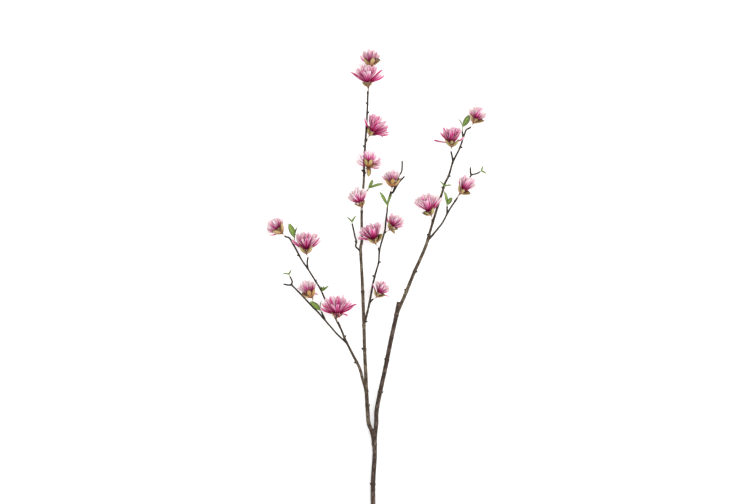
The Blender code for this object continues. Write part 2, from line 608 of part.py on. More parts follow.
def tepals(name, flower, finder):
    """The tepals of a flower in their whorls, from the outer one inwards, and then its strays."""
    dice = random.Random(int(name))
    length = flower.tepal * MM
    found = []
    start = dice.uniform(0, 360)
    for ring, count in enumerate(flower.whorls):
        gap = BED_GAP + ring * WHORL_BED_GAP
        for i in range(count):
            turn = start + (i + ring * 0.5) * 360 / count + dice.uniform(-7, 7)
            last = flower.opening * WHORL_OPENING[ring] * dice.uniform(0.86, 1.1)
            long = length * WHORL_LENGTH[ring] * dice.uniform(0.94, 1.06)
            wide = length * TEPAL_WIDTH_SHARE * dice.uniform(0.9, 1.08)
            shape = (WHORL_HEIGHT[ring], turn, WHORL_FIRST[ring], last, long, wide)
            found.append(fitted_tepal(flower, finder, gap, *shape))
    wide = length * TEPAL_WIDTH_SHARE * STRAY_WIDTH
    for turn, first, last, share in flower.strays:
        shape = (WHORL_HEIGHT[1], turn, first, last, length * share, wide)
        found.append(fitted_tepal(flower, finder, BED_GAP, *shape))
    if name in LEANING:
        found.append(leaning_tepal(flower, length, wide))
    return [blade for blade in found if blade]


def build_corolla(name, flower, finder):
    """The pink part of a flower: its tepals, fused to the cone in the middle."""
    axis, _, _ = flower_frame(flower)
    foot = at(flower.foot) + axis * (CUP_HEIGHT + SEAT_GAP)
    middle = cone(foot, foot + axis * CONE_HEIGHT, CONE_FOOT, CONE_TOP, CONE_SIDES)
    blades = [blade.mesh(TEPAL_ROWS, TEPAL_THICKNESS, True) for blade in tepals(name, flower, finder)]
    return fuse(f"corolla_{name}", [middle] + blades, PINK)


def bud_scales(flower):
    """The bud scales that hold a flower from below."""
    axis, _, _ = flower_frame(flower)
    found = []
    for turn, last in flower.scales:
        outward = outward_at(flower, turn)
        seat = at(flower.foot) + axis * (CUP_HEIGHT - SCALE_SINK) + outward * SCALE_ROOT_OUT
        first = max(SCALE_START, last)
        width = SCALE_WIDTH * (NARROW_SCALE if last > FOLDED_BACK else 1.0)
        spread = pointed_spread(width, SCALE_FOOT_WIDTH, 0.5)
        found.append(Blade(seat, axis, outward, SCALE_LENGTH, first, last, spread, SCALE_CUP))
    return found


def grafted_start(twig, radius):
    """The first two points of what grows on from a twig's end, a small gap beyond it and in its line."""
    end, _ = twig[-1]
    way = (end - twig[-2][0]).normalized()
    return [(end + way * SEAT_GAP, radius), (end + way * (SEAT_GAP + 1 * MM), radius)]


def build_calyx(name, flower, routes):
    """A flower's pale neck, its cup and its bud scales."""
    axis, _, _ = flower_frame(flower)
    foot = at(flower.foot)
    neck = tube([
        *grafted_start(routes[flower.twig], NECK_RADIUS * 0.85),
        (foot, NECK_RADIUS),
        (foot + axis * CUP_HEIGHT * 0.45, CUP_RADIUS * 0.8),
        (foot + axis * CUP_HEIGHT, CUP_RADIUS),
    ], 1)
    scales = [blade.mesh(SCALE_ROWS, SCALE_THICKNESS, True) for blade in bud_scales(flower)]
    return fuse(f"calyx_{name}", [neck] + scales, SCALE_TAN)


def leaf_blade(foot, leaf):
    """A leaf from its foot on the shoot to its tip."""
    tip = at(leaf.tip)
    way = tip - foot
    up = Vector((0.0, 0.0, 1.0))
    level = way.cross(up).normalized()
    facing = level.cross(way).normalized()
    turned = facing * math.cos(math.radians(leaf.roll)) + level * math.sin(math.radians(leaf.roll))
    spread = pointed_spread(leaf.width * MM, LEAF_FOOT_WIDTH, 0.55)
    return Blade(foot, way, -turned, way.length, -LEAF_ARCH / 2, LEAF_ARCH / 2, spread, LEAF_CUP)


def build_shoot(name, shoot, routes):
    """A green stalk with its leaves."""
    foot, top = at(shoot.stalk[0]), at(shoot.stalk[-1])
    start = [(foot, SHOOT_RADIUS)]
    if (foot - routes[shoot.twig][-1][0]).length < 1 * MM:
        start = grafted_start(routes[shoot.twig], SHOOT_RADIUS)
    meshes = [tube([*start, (top, SHOOT_RADIUS)], 1)]
    root = top - (top - foot).normalized() * LEAF_SINK
    meshes += [leaf_blade(root, leaf).mesh(LEAF_ROWS, LEAF_THICKNESS, False) for leaf in shoot.leaves]
    return fuse(f"leaf_shoot_{name}", meshes, GREEN)


def main():
    """Builds the branch, its flowers and its leafy shoots."""
    clear_scene()
    routes = stem_routes()
    finder = stem_finder(routes)
    build_branch(routes)
    for name, flower in FLOWERS.items():
        build_calyx(name, flower, routes)
        build_corolla(name, flower, finder)
    for name, shoot in SHOOTS.items():
        build_shoot(name, shoot, routes)


main()
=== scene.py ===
"""Dresses a cut branch of pink star magnolia that lies on a pale surface, seen from above.

The tables of stems, buds, flowers and leafy shoots follow those of the solids, in millimetres in the
same lay-out frame: X across the branch, Y from the cut end to the top flower and Z up from the
surface. A few flowers and leaves are a little larger, smaller or wider open here, as in the picture.
Everything built from the tables is in metres.
"""

import logging
import math
import random
from dataclasses import dataclass, field, replace
from enum import Enum
from typing import Callable, ClassVar, Iterable

import bmesh
import bpy
from mathutils import Euler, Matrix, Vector, noise
from mathutils.kdtree import KDTree


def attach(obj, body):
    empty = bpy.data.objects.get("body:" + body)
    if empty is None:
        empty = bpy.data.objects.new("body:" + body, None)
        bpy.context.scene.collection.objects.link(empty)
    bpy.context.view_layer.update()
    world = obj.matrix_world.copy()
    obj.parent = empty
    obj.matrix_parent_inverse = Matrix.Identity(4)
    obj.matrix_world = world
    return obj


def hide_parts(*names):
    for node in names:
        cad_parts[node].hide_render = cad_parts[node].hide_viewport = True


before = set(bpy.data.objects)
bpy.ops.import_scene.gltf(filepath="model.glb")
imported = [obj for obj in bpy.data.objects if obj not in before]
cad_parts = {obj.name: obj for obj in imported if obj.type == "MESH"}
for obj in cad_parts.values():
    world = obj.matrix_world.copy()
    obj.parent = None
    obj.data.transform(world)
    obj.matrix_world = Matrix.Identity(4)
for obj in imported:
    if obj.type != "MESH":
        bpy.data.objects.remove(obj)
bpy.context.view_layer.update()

log = logging.getLogger("magnolia")

Pair = tuple[float, float]
Triple = tuple[float, float, float]
Stops = tuple[tuple[float, Triple], ...]  # (value, colour) pairs
Mesh = bmesh.types.BMesh
Material = bpy.types.Material

MM = 0.001
BODY = "root"
UP = Vector((0.0, 0.0, 1.0))

# Middle of the branch's outline in the lay-out frame: the model's origin.
ORIGIN = Vector((10.0, 536.0, 0.0)) * MM

# Float layers of a mesh that the finishes read
TINT = "tint"
GIRTH = "girth"

# Stems
STEM_STEP = 1.6 * MM  # between two stations
LEAST_END = 0.02  # square of the share of its radius that a rounded end keeps
WELD = 0.01 * MM  # points of a tube that are closer become one
BUD_SEED = 3

# The neck and cup of a flower, and its middle with a spiral of carpels and a ring of stamens
NECK_RADIUS = 1.3 * MM
NECK_STEP = 0.7 * MM
CUP_HEIGHT = 5.0 * MM
CUP_RADIUS = 3.9 * MM
SEAT_GAP = 0.5 * MM  # between the cup and the middle
HEART_HEIGHT = 9.5 * MM
HEART_FOOT = 2.9 * MM
HEART_TOP = 1.5 * MM
GOLDEN_TURN = 137.5  # degrees from one of them to the next
CARPELS = 34
CARPEL_FROM = 0.3  # share of the middle's height where the lowest is
CARPEL_SEAT = 0.7  # share of the middle's radius where they are rooted
CARPEL_REACH = (1.53 * MM, 1.87 * MM)  # away from the axis and along it
CARPEL_RADII = (0.62 * MM, 0.12 * MM)
STAMENS = 26
STAMEN_FROM = 0.8 * MM
STAMEN_RISE = 2.4 * MM  # from the lowest to the highest
STAMEN_LEAN = (0.5, 0.8)  # away from the axis, as a share of along it
STAMEN_LENGTH = (5, 7)  # along the flower's axis, in millimetres
STAMEN_RADII = (0.4 * MM, 0.55 * MM)

# Petals
SHAPE_SEED = 100
HUE_SEED = 200
SEEDS = (0, 60)  # range of the value that sets one blade's folds and tears apart from another's
PETAL_ROOT_WIDTH = 1.8 * MM
PETAL_WIDTH_SHARE = 0.245  # width of one of the solid's petals, as a share of its length
PETAL_TWIST = 60.0  # degrees by the tip, towards facing up, of a petal at its flower's side
PETAL_WIDEST = 0.80  # share of a petal's length
PETAL_CLAW = 1.6  # above 1, a petal stays narrow for longer
PETAL_BLUNTNESS = 0.08
PETAL_ROOT_OUT = 0.8 * MM  # from the flower's axis
TIP_NARROWING = 0.16  # share of its width that a petal loses from its widest place to its tip

# Whorls of petals from the outer one inwards
WHORL_MEAN = (1.05, 0.7, 0.34)  # mean angle of a petal, as a share of the flower's opening
WHORL_LENGTH = (0.95, 1.0, 0.86)  # share of the petal length
WHORL_HEIGHT = (1.8 * MM, 3.6 * MM, 5.6 * MM)  # of the roots, above the foot of the middle

# A petal that leans on the surface, with angles in degrees from its flower's axis
LEANING_FOOT = 33.0
LEANING_RANGE = (30.0, 150.0)  # between which the angle at its tip is looked for
LEANING_TRIES = 16

# Petals side by side across the front of flower 04
FAN_ANGLES = (56, 62)  # degrees from the axis at foot and tip
FAN_LENGTHS = (0.98, 0.04)  # the usual length as a share of the plan's, and how far it goes up and down
FAN_SWAY = 0.1

# Bud scales
SCALE_LENGTH = 31.0 * MM
SCALE_FOOT_WIDTH = 5.6 * MM
SCALE_WIDTH = (13.5 * MM, 22.5 * MM)  # of a scale that faces up and of one at its flower's side
SCALE_START = (68.0, 66.0)  # degrees from the flower's axis at the foot of the same two
SCALE_CUP = (0.16, 0.47)  # how far the edges of the same two wrap round the flower
SCALE_CLOSE = (18.0, 20.0)  # degrees by which the same two end nearer the axis than planned
SCALE_SHIFT = 20.0  # degrees nearer the upper side than planned, of a scale at the flower's side
SCALE_TWIST = 52.0  # degrees by the tip, towards facing up, of a scale at its flower's side
SCALE_WIDEST = 0.56  # share of a scale's length
SCALE_ROUND = 2.6  # above 1, its sides stay round before its point
HOLDS = 34.0  # degrees to either side of its middle within which a scale holds petals
FOLDED_BACK = 60.0  # degrees from the axis past which a scale counts as folded back
NARROW_SCALE = 0.7  # width of a scale that is folded back, as a share of the others'
FOLDED_CUP = 0.16  # how far its edges wrap round
TURNED_DOWN = 95.0  # degrees from the axis past which a scale bends down behind its flower
SCALE_SINK = 3.6 * MM  # of a scale's root below the rim of the cup
SCALE_ROOT_OUT = 1.2 * MM  # from the flower's axis

# Leaves
SHOOT_SEED = 500
LEAF_CUP = 0.084
LEAF_ARCH = 16.0  # degrees that a leaf bends back from foot to tip
LEAF_FOOT_WIDTH = (1.3 * MM, 2.8 * MM)  # of an open leaf and of one that is still folded
LEAF_WIDEST = (0.52, 0.26)  # share of its length, for the same two
FOLDED_LEAF = 5.6  # millimetres; a leaf that is narrower is still folded
LEAF_FILL = 1.15  # width of a leaf, as a share of the solid's, whose sides are straighter
LEAF_SINK = 0.7 * MM  # of a leaf's root below the top of its stalk

# The point of a leaf or a scale
POINT_WIDTH = 0.03  # as a share of the widest width
POINT_POWER = 0.8  # below 1, its sides meet at a blunter angle

# Room that a petal keeps to the surface below and to every stem
BED_GAP = 0.6 * MM
WHORL_BED_GAP = 3.5 * MM  # added for each whorl further in
STEM_GAP = 1.5 * MM
TURNS = (0.0, 9.0, -9.0, 18.0, -18.0, 27.0, -27.0)  # degrees, tried before a petal is closed up
CLOSINGS = (1.0, 0.88, 0.76, 0.64, 0.52, 0.4)  # shares of its opening, tried in turn
LEAST_HEIGHT = 0.5 * MM  # of the middle of a blade's wall above the surface

# Every stem as (x, y, z, radius), from where it leaves the one below it to its end.
STEMS = {
    "right_leader": [
        (1, -60, 5.3, 5.7), (0, 45, 8, 5.5), (4, 115, 9.5, 5.2), (4, 160, 11, 5.4), (8, 200, 12, 4.8),
        (9, 232, 13, 4.7), (18, 280, 14.5, 4.6), (30, 335, 16, 4.6), (45, 410, 18, 4.7),
        (56, 460, 19.5, 4.6), (65, 505, 21, 4.5),
    ],
    "right_upper": [
        (58, 472, 19.5, 3.4), (72, 504, 22, 3.6), (81, 525, 22.5, 3.5), (103, 579, 23, 3.4),
        (118, 612, 23.5, 3.3), (133, 648, 24, 3.2), (144, 686, 25, 2.7), (160, 739, 26, 2.6),
        (173, 779, 26.5, 2.5), (179, 800, 27, 2.4), (190, 823, 27, 2.3), (200, 856, 27.5, 2.2),
        (216, 888, 27, 1.9), (227, 920, 26, 1.7), (233, 935, 25.5, 1.6), (240, 939, 25.5, 1.4),
        (245, 943, 25.5, 1.3),
    ],
    "left_leader": [
        (4, 146, 10.5, 4.2), (-3, 180, 13, 4.4), (-11, 201, 14, 4.2), (-14, 240, 15, 4.1),
        (-17, 290, 16, 3.9), (-18, 322, 17, 3.5), (-21, 385, 18.5, 3.4), (-23, 455, 20, 3.3),
        (-27, 560, 22, 3.1), (-31, 635, 24, 3.0), (-28, 660, 24.5, 2.9), (-28, 735, 26, 2.7),
        (-23, 810, 28, 2.4), (-22, 860, 29, 2.3), (-17, 935, 29, 2.1), (-14, 990, 28, 2.0),
        (-12.5, 1030, 26, 1.9), (-9, 1062, 22, 1.6), (-6, 1080, 20, 1.4),
    ],
    "left_arm": [
        (-17, 282, 16, 2.8), (-25, 308, 18.5, 3.0), (-34, 340, 20, 2.9), (-50, 372, 22, 2.8),
        (-69, 410, 24, 2.5), (-79, 435, 26, 2.2), (-93, 463, 28, 2.1), (-106, 490, 29.5, 2.0),
        (-119, 511, 31, 2.0), (-131, 537, 32, 1.9), (-145, 560, 32, 1.8), (-162, 587, 31, 1.8),
        (-178, 610, 29.5, 1.6), (-194, 640, 28, 1.5), (-201, 652, 27, 1.5), (-209, 665, 26, 1.4),
        (-218, 668, 25, 1.3), (-221, 671, 25, 1.2),
    ],
    "lower_arm": [
        (-66, 403, 23.5, 1.9), (-89, 424, 24, 2.0), (-111, 449, 24, 1.9), (-137, 479, 24, 1.8),
        (-153, 495, 24, 1.7), (-178, 522, 24, 1.5), (-193, 537, 24, 1.4), (-203, 548, 24, 1.4),
        (-202, 557, 24.5, 1.2), (-208, 569, 25, 1.0),
    ],
    "middle_arm": [
        (-23.5, 446, 19.8, 2.4), (-17.5, 466, 22, 2.6), (-13, 484, 23.5, 2.5), (-8, 507, 25, 2.3),
        (0, 551, 27, 2.2), (9, 586, 28.5, 2.1), (14, 604, 29.5, 2.0), (16.5, 635, 31, 1.9),
        (26, 670, 33, 1.8), (30, 685, 33.5, 1.8), (32.5, 712, 34, 1.6), (35, 730, 34, 1.5),
        (37, 750, 34, 1.5), (42, 771, 34, 1.4), (51, 780, 35, 1.2), (60, 796, 38, 1.1),
        (67, 806, 39, 1.0), (79, 819, 40, 0.8),
    ],
    "right_arm": [
        (136, 660, 24.5, 2.5), (146, 669, 26, 2.4), (157, 682, 27, 2.2), (170, 698, 27.5, 2.1),
        (177.5, 710, 28, 2.0), (185.5, 726, 28, 1.9), (195, 742, 28, 1.7), (204.5, 756, 27, 1.6),
        (213, 769, 23.5, 1.3), (222, 784, 18.5, 1.2), (231, 800, 17.5, 1.2), (243, 818, 21, 1.1),
        (247, 823, 23, 1.1), (259, 826, 24, 1.0), (268, 831, 25, 0.9),
    ],
    "left_twig": [
        (-30, 626, 24, 1.9), (-34, 634.5, 25, 1.8), (-43, 644, 26.5, 1.6), (-41.5, 656, 27, 1.4),
        (-45, 668, 27.5, 1.3), (-47.5, 680, 28, 1.3), (-51, 696, 28, 1.1), (-52, 701, 28, 1.0),
    ],
    "far_left_twig": [(-203, 548, 24, 1.1), (-213, 547.5, 25, 0.9), (-221, 549.5, 26, 0.7)],
    "far_right_twig": [(246.5, 822, 23, 0.9), (244, 828, 24, 0.8), (243.5, 839, 25, 0.6)],
    "high_twig": [
        (50, 779, 34.6, 0.9), (57, 800, 27, 0.9), (66, 822, 24, 0.8), (72, 833, 24.5, 0.8),
        (73, 855, 25, 0.6),
    ],
    "stalk_02": [(-13, 1026, 26.5, 1.5), (-12.8, 1032, 30, 1.3)],
    "stalk_03": [(-18, 906, 29, 1.5), (-14.5, 913, 31, 1.3)],
    "stalk_04": [(-22.5, 820, 28, 1.5), (-21, 825, 34, 1.4), (-18, 829.5, 39, 1.3)],
    "stalk_05": [(-27.5, 730, 26, 1.6), (-27.5, 735, 31, 1.3)],
    "stalk_06": [(16.5, 631, 31, 1.6), (13, 641, 31.5, 1.3)],
    "stalk_07": [(43, 772, 34, 1.3), (45, 782, 33.5, 1.3)],
    "stalk_08": [(28.5, 679, 33.2, 1.6), (33.5, 681, 32.5, 1.3)],
    "stalk_09": [(-8.5, 503, 25, 1.6), (-3, 509.5, 26.5, 1.4), (1.5, 512.5, 27, 1.3)],
    "stalk_10": [(200, 855, 27.5, 1.7), (197.5, 869, 28.5, 1.4), (194.5, 882, 29.5, 1.3)],
    "stalk_12": [(149, 703, 25.5, 1.6), (148, 713, 28.5, 1.3)],
    "stalk_13": [(205, 757, 27, 1.4), (211.5, 766.5, 31, 1.3)],
    "stalk_15": [(-163, 588, 31, 1.6), (-164, 604, 33, 1.4), (-162, 618, 34, 1.3)],
    "stalk_16": [(-147, 489, 24, 1.5), (-149.5, 502, 25, 1.3)],
    "stalk_17": [(-83, 444, 26.8, 1.7), (-87.5, 456.5, 31.5, 1.3)],
    "shoot_twig_a": [(-27, 763, 27, 1.5), (-19.5, 778, 29, 1.2), (-13, 785, 30, 1.0)],
    "shoot_twig_d": [(226, 915, 26, 1.2), (223.5, 925, 27, 1.0), (223.3, 932, 28, 1.0)],
    "shoot_twig_e": [(185.5, 725, 28, 1.3), (185, 736, 30, 1.1), (185, 745, 31, 1.0)],
    "shoot_twig_h": [(-200, 650, 27.2, 1.2), (-197, 658.5, 28.5, 1.0)],
    "shoot_twig_k": [(-121, 462, 24, 1.3), (-129, 481, 26.5, 1.0)],
}

# Buds and leaf scars, as (stem, y where it stands, side: -1 left or 1 right, lift towards the viewer)
BUDS = [
    ("right_leader", 46, -1, 0.2), ("right_leader", 279, 1, 0.0), ("right_leader", 360, -1, 0.3),
    ("right_upper", 533, -1, 0.2), ("right_upper", 581, 1, 0.3), ("right_upper", 671, -1, 0.0),
    ("right_upper", 820, 1, 0.0), ("right_upper", 891, 1, 0.2), ("right_upper", 789, -1, 0.3),
    ("left_leader", 244, 1, 0.1), ("left_leader", 387, -1, 0.2), ("left_leader", 530, -1, 1.2),
    ("left_leader", 831, -1, 0.3), ("left_leader", 893, -1, 0.1), ("left_leader", 977, 1, 0.6),
    ("left_leader", 1000, -1, 0.0), ("middle_arm", 455, 1, 0.2), ("middle_arm", 568, -1, 0.1),
    ("middle_arm", 604, 1, 0.1), ("left_arm", 354, -1, 0.2), ("left_arm", 417, 1, 0.0),
    ("left_arm", 557, 1, 0.4), ("left_arm", 621, -1, 0.3), ("left_twig", 655, -1, 0.3),
]

# Twigs that end in a bud
BUD_TIPPED = ("far_left_twig", "far_right_twig", "high_twig")


class BloomSize(Enum):
    """How full a flower is: petals per whorl of its solid, those between, and how long side ones are."""

    LARGE = ((5, 4, 2), (19, 16, 11), 0.95)
    SMALL = ((4, 3, 2), (15, 12, 7), 0.88)

    @property
    def main(self) -> tuple[int, ...]:
        """Petals in each whorl that stand where the solid's stand."""
        return self.value[0]

    @property
    def between(self) -> tuple[int, ...]:
        """Petals in each whorl that are set between the solid's."""
        return self.value[1]

    @property
    def side(self) -> float:
        """Length of a petal at the flower's side, as a share of the plan's."""
        return self.value[2]


@dataclass(frozen=True)
class Flower:
    """One flower: where it sits, which way it faces and how it opens.

    foot is the bottom of its cup. opening is the angle from the axis that its outer petals end at. A
    turn is in degrees round the axis, from the side that faces up; 90 is the right of a flower that
    points along Y. scales are (turn, spread, share of the usual size), strays are (turn, first angle,
    last angle, length share) of single petals and swept are the same with a sideways sweep as a fifth
    value, for petals that come out from under a stem.

    pale says how light the petals are, from 0 to 1, wide how far they open in all, as a share of the
    usual, round whether they make a star (0) or a ball (1), ripe whether the scales are olive (0) or
    orange (1), peak how long the petals in the middle of its outline are and full how many petals it
    has, both as a share of the usual.
    """

    twig: str
    foot: Triple
    axis: Triple
    tepal: float
    opening: float
    size: BloomSize
    scales: tuple[Triple, ...]
    strays: tuple[tuple[float, float, float, float], ...] = ()
    swept: tuple[tuple[float, float, float, float, float], ...] = ()
    pale: float = 0.5
    wide: float = 1.0
    round: float = 0.3
    ripe: float = 0.4
    peak: float = 1.0
    full: float = 1.0


@dataclass(frozen=True)
class Leaf:
    """One leaf: its tip, its widest width, and how far it is rolled from facing up, in degrees."""

    tip: Triple
    width: float
    roll: float


@dataclass(frozen=True)
class Shoot:
    """A leafy shoot: the two ends of its green stalk, and its leaves."""

    stalk: list[Triple]
    leaves: list[Leaf]


def fan(turns: Iterable[int]) -> list[tuple[float, ...]]:
    """Swept petals at some turns, each a little unlike the next."""
    usual, varies = FAN_LENGTHS
    return [(turn, *FAN_ANGLES, usual + varies * math.sin(turn), FAN_SWAY * math.cos(turn)) for turn in turns]


FLOWERS = {
    "01": Flower(
        "left_leader", (-6, 1091, 20), (-0.05, 1, 0.08), 41, 54, BloomSize.SMALL,
        scales=((-54, 40, 1.15), (26, 32, 1.15), (94, 60, 1.0), (190, 30, 1.15)),
        strays=((64, 34, 36, 1.0), (108, 50, 60, 0.85)),
        pale=0.8, wide=0.8, round=0.85, ripe=0.5, full=1.4,
    ),
    "02": Flower(
        "stalk_02", (-13, 1041, 33.5), (-0.05, 1, 0.34), 51, 68, BloomSize.LARGE,
        scales=((-60, 48, 0.8), (4, 34, 0.61), (58, 46, 0.8), (190, 30, 0.8)),
        strays=((98, 46, 58, 1.0), (-96, 50, 62, 0.98)),
        pale=0.56, wide=1.04, round=0, ripe=0.35,
    ),
    "03": Flower(
        "stalk_03", (-9.5, 920, 33), (0.5, 0.86, 0.22), 51, 62, BloomSize.LARGE,
        scales=((-50, 34, 0.86), (20, 34, 0.65), (150, 40, 0.86), (-140, 34, 0.86)),
        strays=((98, 70, 92, 0.62), (80, 60, 62, 0.9), (70, 54, 56, 0.94)),
        pale=0.46, wide=1.04, round=0.2, ripe=0.3, peak=0.95,
    ),
    "04": Flower(
        "stalk_04", (-12, 836.5, 46), (0.08, 0.8, -0.56), 42, 72, BloomSize.LARGE,
        scales=((-48, 42, 0.84), (30, 36, 0.84), (88, 66, 0.8), (24, 128, 1.06), (180, 32, 1.0)),
        swept=((184, 30, 62, 1.15, -1.9), (170, 40, 70, 1.05, -2.6), (196, 46, 52, 1.1, -1.4),
               *fan(range(-96, 116, 13))),
        pale=0.78, round=0.6, ripe=0.25,
    ),
    "05": Flower(
        "stalk_05", (-27.5, 742, 37), (-0.35, 0.93, 0.24), 44, 56, BloomSize.SMALL,
        scales=((-64, 44, 0.8), (2, 34, 0.59), (62, 42, 0.78), (180, 30, 0.78)),
        pale=0.86, round=0.35, ripe=0.8, full=1.15,
    ),
    "06": Flower(
        "stalk_06", (7, 649.5, 32), (-0.26, 0.96, 0.18), 50, 58, BloomSize.LARGE,
        scales=((-56, 42, 1.1), (26, 34, 0.84), (80, 44, 1.1), (180, 30, 1.1)),
        strays=((-98, 66, 78, 0.84), (-118, 70, 88, 0.78), (-106, 62, 74, 0.7)),
        pale=0.5, round=0.2, ripe=0.45, peak=0.92,
    ),
    "07": Flower(
        "stalk_07", (47.5, 790, 33.5), (0.02, 1, 0.08), 39, 52, BloomSize.SMALL,
        scales=((-60, 42, 1.14), (6, 30, 1.14), (68, 38, 1.14), (190, 30, 1.14)),
        pale=0.9, round=0.3, ripe=0.9, full=1.2,
    ),
    "08": Flower(
        "stalk_08", (40.5, 684.5, 31.5), (0.6, 0.8, 0.14), 40, 58, BloomSize.SMALL,
        scales=((-58, 40, 0.86), (8, 32, 0.65), (66, 54, 0.86), (112, 92, 0.5), (185, 30, 0.86)),
        pale=0.75, round=0.25, ripe=0.15,
    ),
    "09": Flower(
        "stalk_09", (8, 516.5, 28), (0.5, 0.86, 0.1), 39, 50, BloomSize.SMALL,
        scales=((-62, 42, 0.84), (8, 32, 0.64), (76, 44, 0.84), (180, 30, 0.84)),
        strays=((100, 70, 86, 0.76),),
        pale=0.8, wide=0.98, round=0, ripe=0.5,
    ),
    "10": Flower(
        "stalk_10", (196, 890.5, 30), (0.02, 1, 0.2), 49, 62, BloomSize.LARGE,
        scales=((-56, 42, 1.12), (3, 30, 0.95), (58, 44, 1.12), (180, 30, 1.06)),
        strays=((-98, 80, 86, 0.92),),
        pale=0.45, wide=0.84, round=0.25, ripe=0.15, peak=0.86,
    ),
    "11": Flower(
        "right_upper", (250, 950.5, 26), (0.42, 0.9, 0.1), 40, 54, BloomSize.SMALL,
        scales=((-62, 40, 0.95), (22, 34, 0.72), (80, 60, 0.95), (180, 30, 0.95)),
        pale=0.92, wide=0.94, round=0.65, ripe=0.6, full=1.25,
    ),
    "12": Flower(
        "stalk_12", (146, 720.5, 32), (-0.42, 0.9, 0.22), 52, 58, BloomSize.LARGE,
        scales=((-50, 34, 0.9), (42, 36, 1.0), (-96, 40, 0.8), (180, 30, 0.95)),
        pale=0.75, wide=0.95, round=0.3, ripe=0.15, full=1.25,
    ),
    "13": Flower(
        "stalk_13", (217, 774, 34), (0.56, 0.83, 0.18), 45, 54, BloomSize.SMALL,
        scales=((-62, 34, 1.0), (6, 32, 0.85), (84, 56, 0.88), (180, 30, 1.06)),
        pale=0.8, wide=0.86, round=0.55, ripe=0.45, full=1.3,
    ),
    "14": Flower(
        "left_arm", (-225, 675, 25), (-0.7, 0.71, 0.08), 42, 56, BloomSize.SMALL,
        scales=((58, 42, 1.21), (-36, 38, 1.21), (12, 30, 0.92), (180, 30, 1.21)),
        pale=0.88, wide=0.98, round=0.5, ripe=0.45, full=1.3,
    ),
    "15": Flower(
        "stalk_15", (-166, 623.5, 34), (0.02, 1, 0.16), 54, 58, BloomSize.LARGE,
        scales=((-50, 42, 1.22), (50, 42, 1.22), (180, 30, 1.17)),
        strays=((-96, 54, 60, 0.86),),
        pale=0.66, wide=0.92, round=0.25, ripe=0.3, peak=0.9,
    ),
    "16": Flower(
        "stalk_16", (-151, 514.5, 26), (-0.45, 0.89, 0.06), 43, 54, BloomSize.SMALL,
        scales=((-4, 32, 1.12), (-70, 44, 0.98), (50, 52, 1.1), (208, 30, 1.12)),
        strays=((127, 100, 136, 0.5),),
        pale=0.85, round=0.3, ripe=1,
    ),
    "17": Flower(
        "stalk_17", (-91, 465, 36), (0.1, 1, 0.28), 54, 66, BloomSize.LARGE,
        scales=((-58, 40, 0.86), (56, 58, 0.86)),
        strays=((98, 52, 62, 1.04), (142, 96, 118, 0.8), (-146, 104, 128, 0.66), (-58, 50, 54, 0.95),
                (-74, 56, 60, 0.92), (-14, 66, 112, 0.46), (20, 70, 118, 0.42)),
        pale=0.44, wide=1.02, round=0.1, ripe=0.7, full=1.1, peak=0.94,
    ),
}

# The two outermost flowers lean on the surface with one petal each.
LEANING = ("11", "14")

SHOOTS = {
    "a": Shoot([(-13, 785, 30), (-10.5, 789.5, 31.5)],
               [Leaf((-2, 811, 38), 7.4, 25), Leaf((25, 801, 33), 6.6, -30)]),
    "b": Shoot([(35.4, 741, 36.4), (35.8, 747, 38.3)],
               [Leaf((16, 779, 42), 7.4, 20), Leaf((46, 773, 47), 6.6, -35)]),
    "c": Shoot([(-52, 701, 28), (-52.6, 706, 28.4)],
               [Leaf((-66, 718, 30), 4.0, 30), Leaf((-42.5, 721, 31), 4.4, -28)]),
    "d": Shoot([(223.3, 932, 28), (224, 943, 30)],
               [Leaf((240, 972, 35), 12.5, 10), Leaf((211.5, 963, 33), 6.5, 74)]),
    "e": Shoot([(185, 745, 31), (185, 748, 32)],
               [Leaf((177.5, 781, 35), 8, 38), Leaf((197.5, 766, 37), 9.5, -12)]),
    "f": Shoot([(268, 831, 25), (271, 833, 25.6)],
               [Leaf((273.5, 846, 28), 4.4, 28), Leaf((284.5, 825, 27), 4.4, -30)]),
    "h": Shoot([(-197, 658.5, 28.5), (-196, 666, 30)],
               [Leaf((-208.5, 702, 34), 12.6, 8), Leaf((-187, 694, 34), 6.8, -62)]),
    "i": Shoot([(-208, 569, 25), (-210.5, 575, 25.6)],
               [Leaf((-226, 577, 27), 3.8, 28), Leaf((-203, 586, 28), 4.0, -26)]),
    "j": Shoot([(-127.2, 531.5, 34.1), (-125, 534, 36.6)],
               [Leaf((-110, 546, 39), 5.5, -30), Leaf((-131, 545, 40), 4.5, 40),
                Leaf((-122.5, 545.5, 42), 4.5, -10)]),
    "k": Shoot([(-129, 481, 26.5), (-130.5, 484.5, 28.5)],
               [Leaf((-156, 508, 37), 11.5, 12), Leaf((-128, 509, 36), 6, -76)]),
    "m": Shoot([(178.6, 792, 30), (178.2, 794.5, 32)],
               [Leaf((166, 807, 35), 4.8, 46), Leaf((197, 797, 36), 4.8, -46)]),
}


def at(point: tuple[float, ...]) -> Vector:
    """A lay-out point in millimetres as a point of the model in metres."""
    return Vector(point[:3]) * MM - ORIGIN


@dataclass(frozen=True)
class Station:
    """A place on a stem: how far along it is, its centre, its radius and the directions there."""

    distance: float
    place: Vector
    radius: float
    along: Vector
    aside: Vector

    def rim(self, turn: float, reach: float) -> Vector:
        """The point at a turn in radians round the stem, reach away from its centre."""
        across = self.along.cross(self.aside)
        return self.place + (self.aside * math.cos(turn) + across * math.sin(turn)) * reach


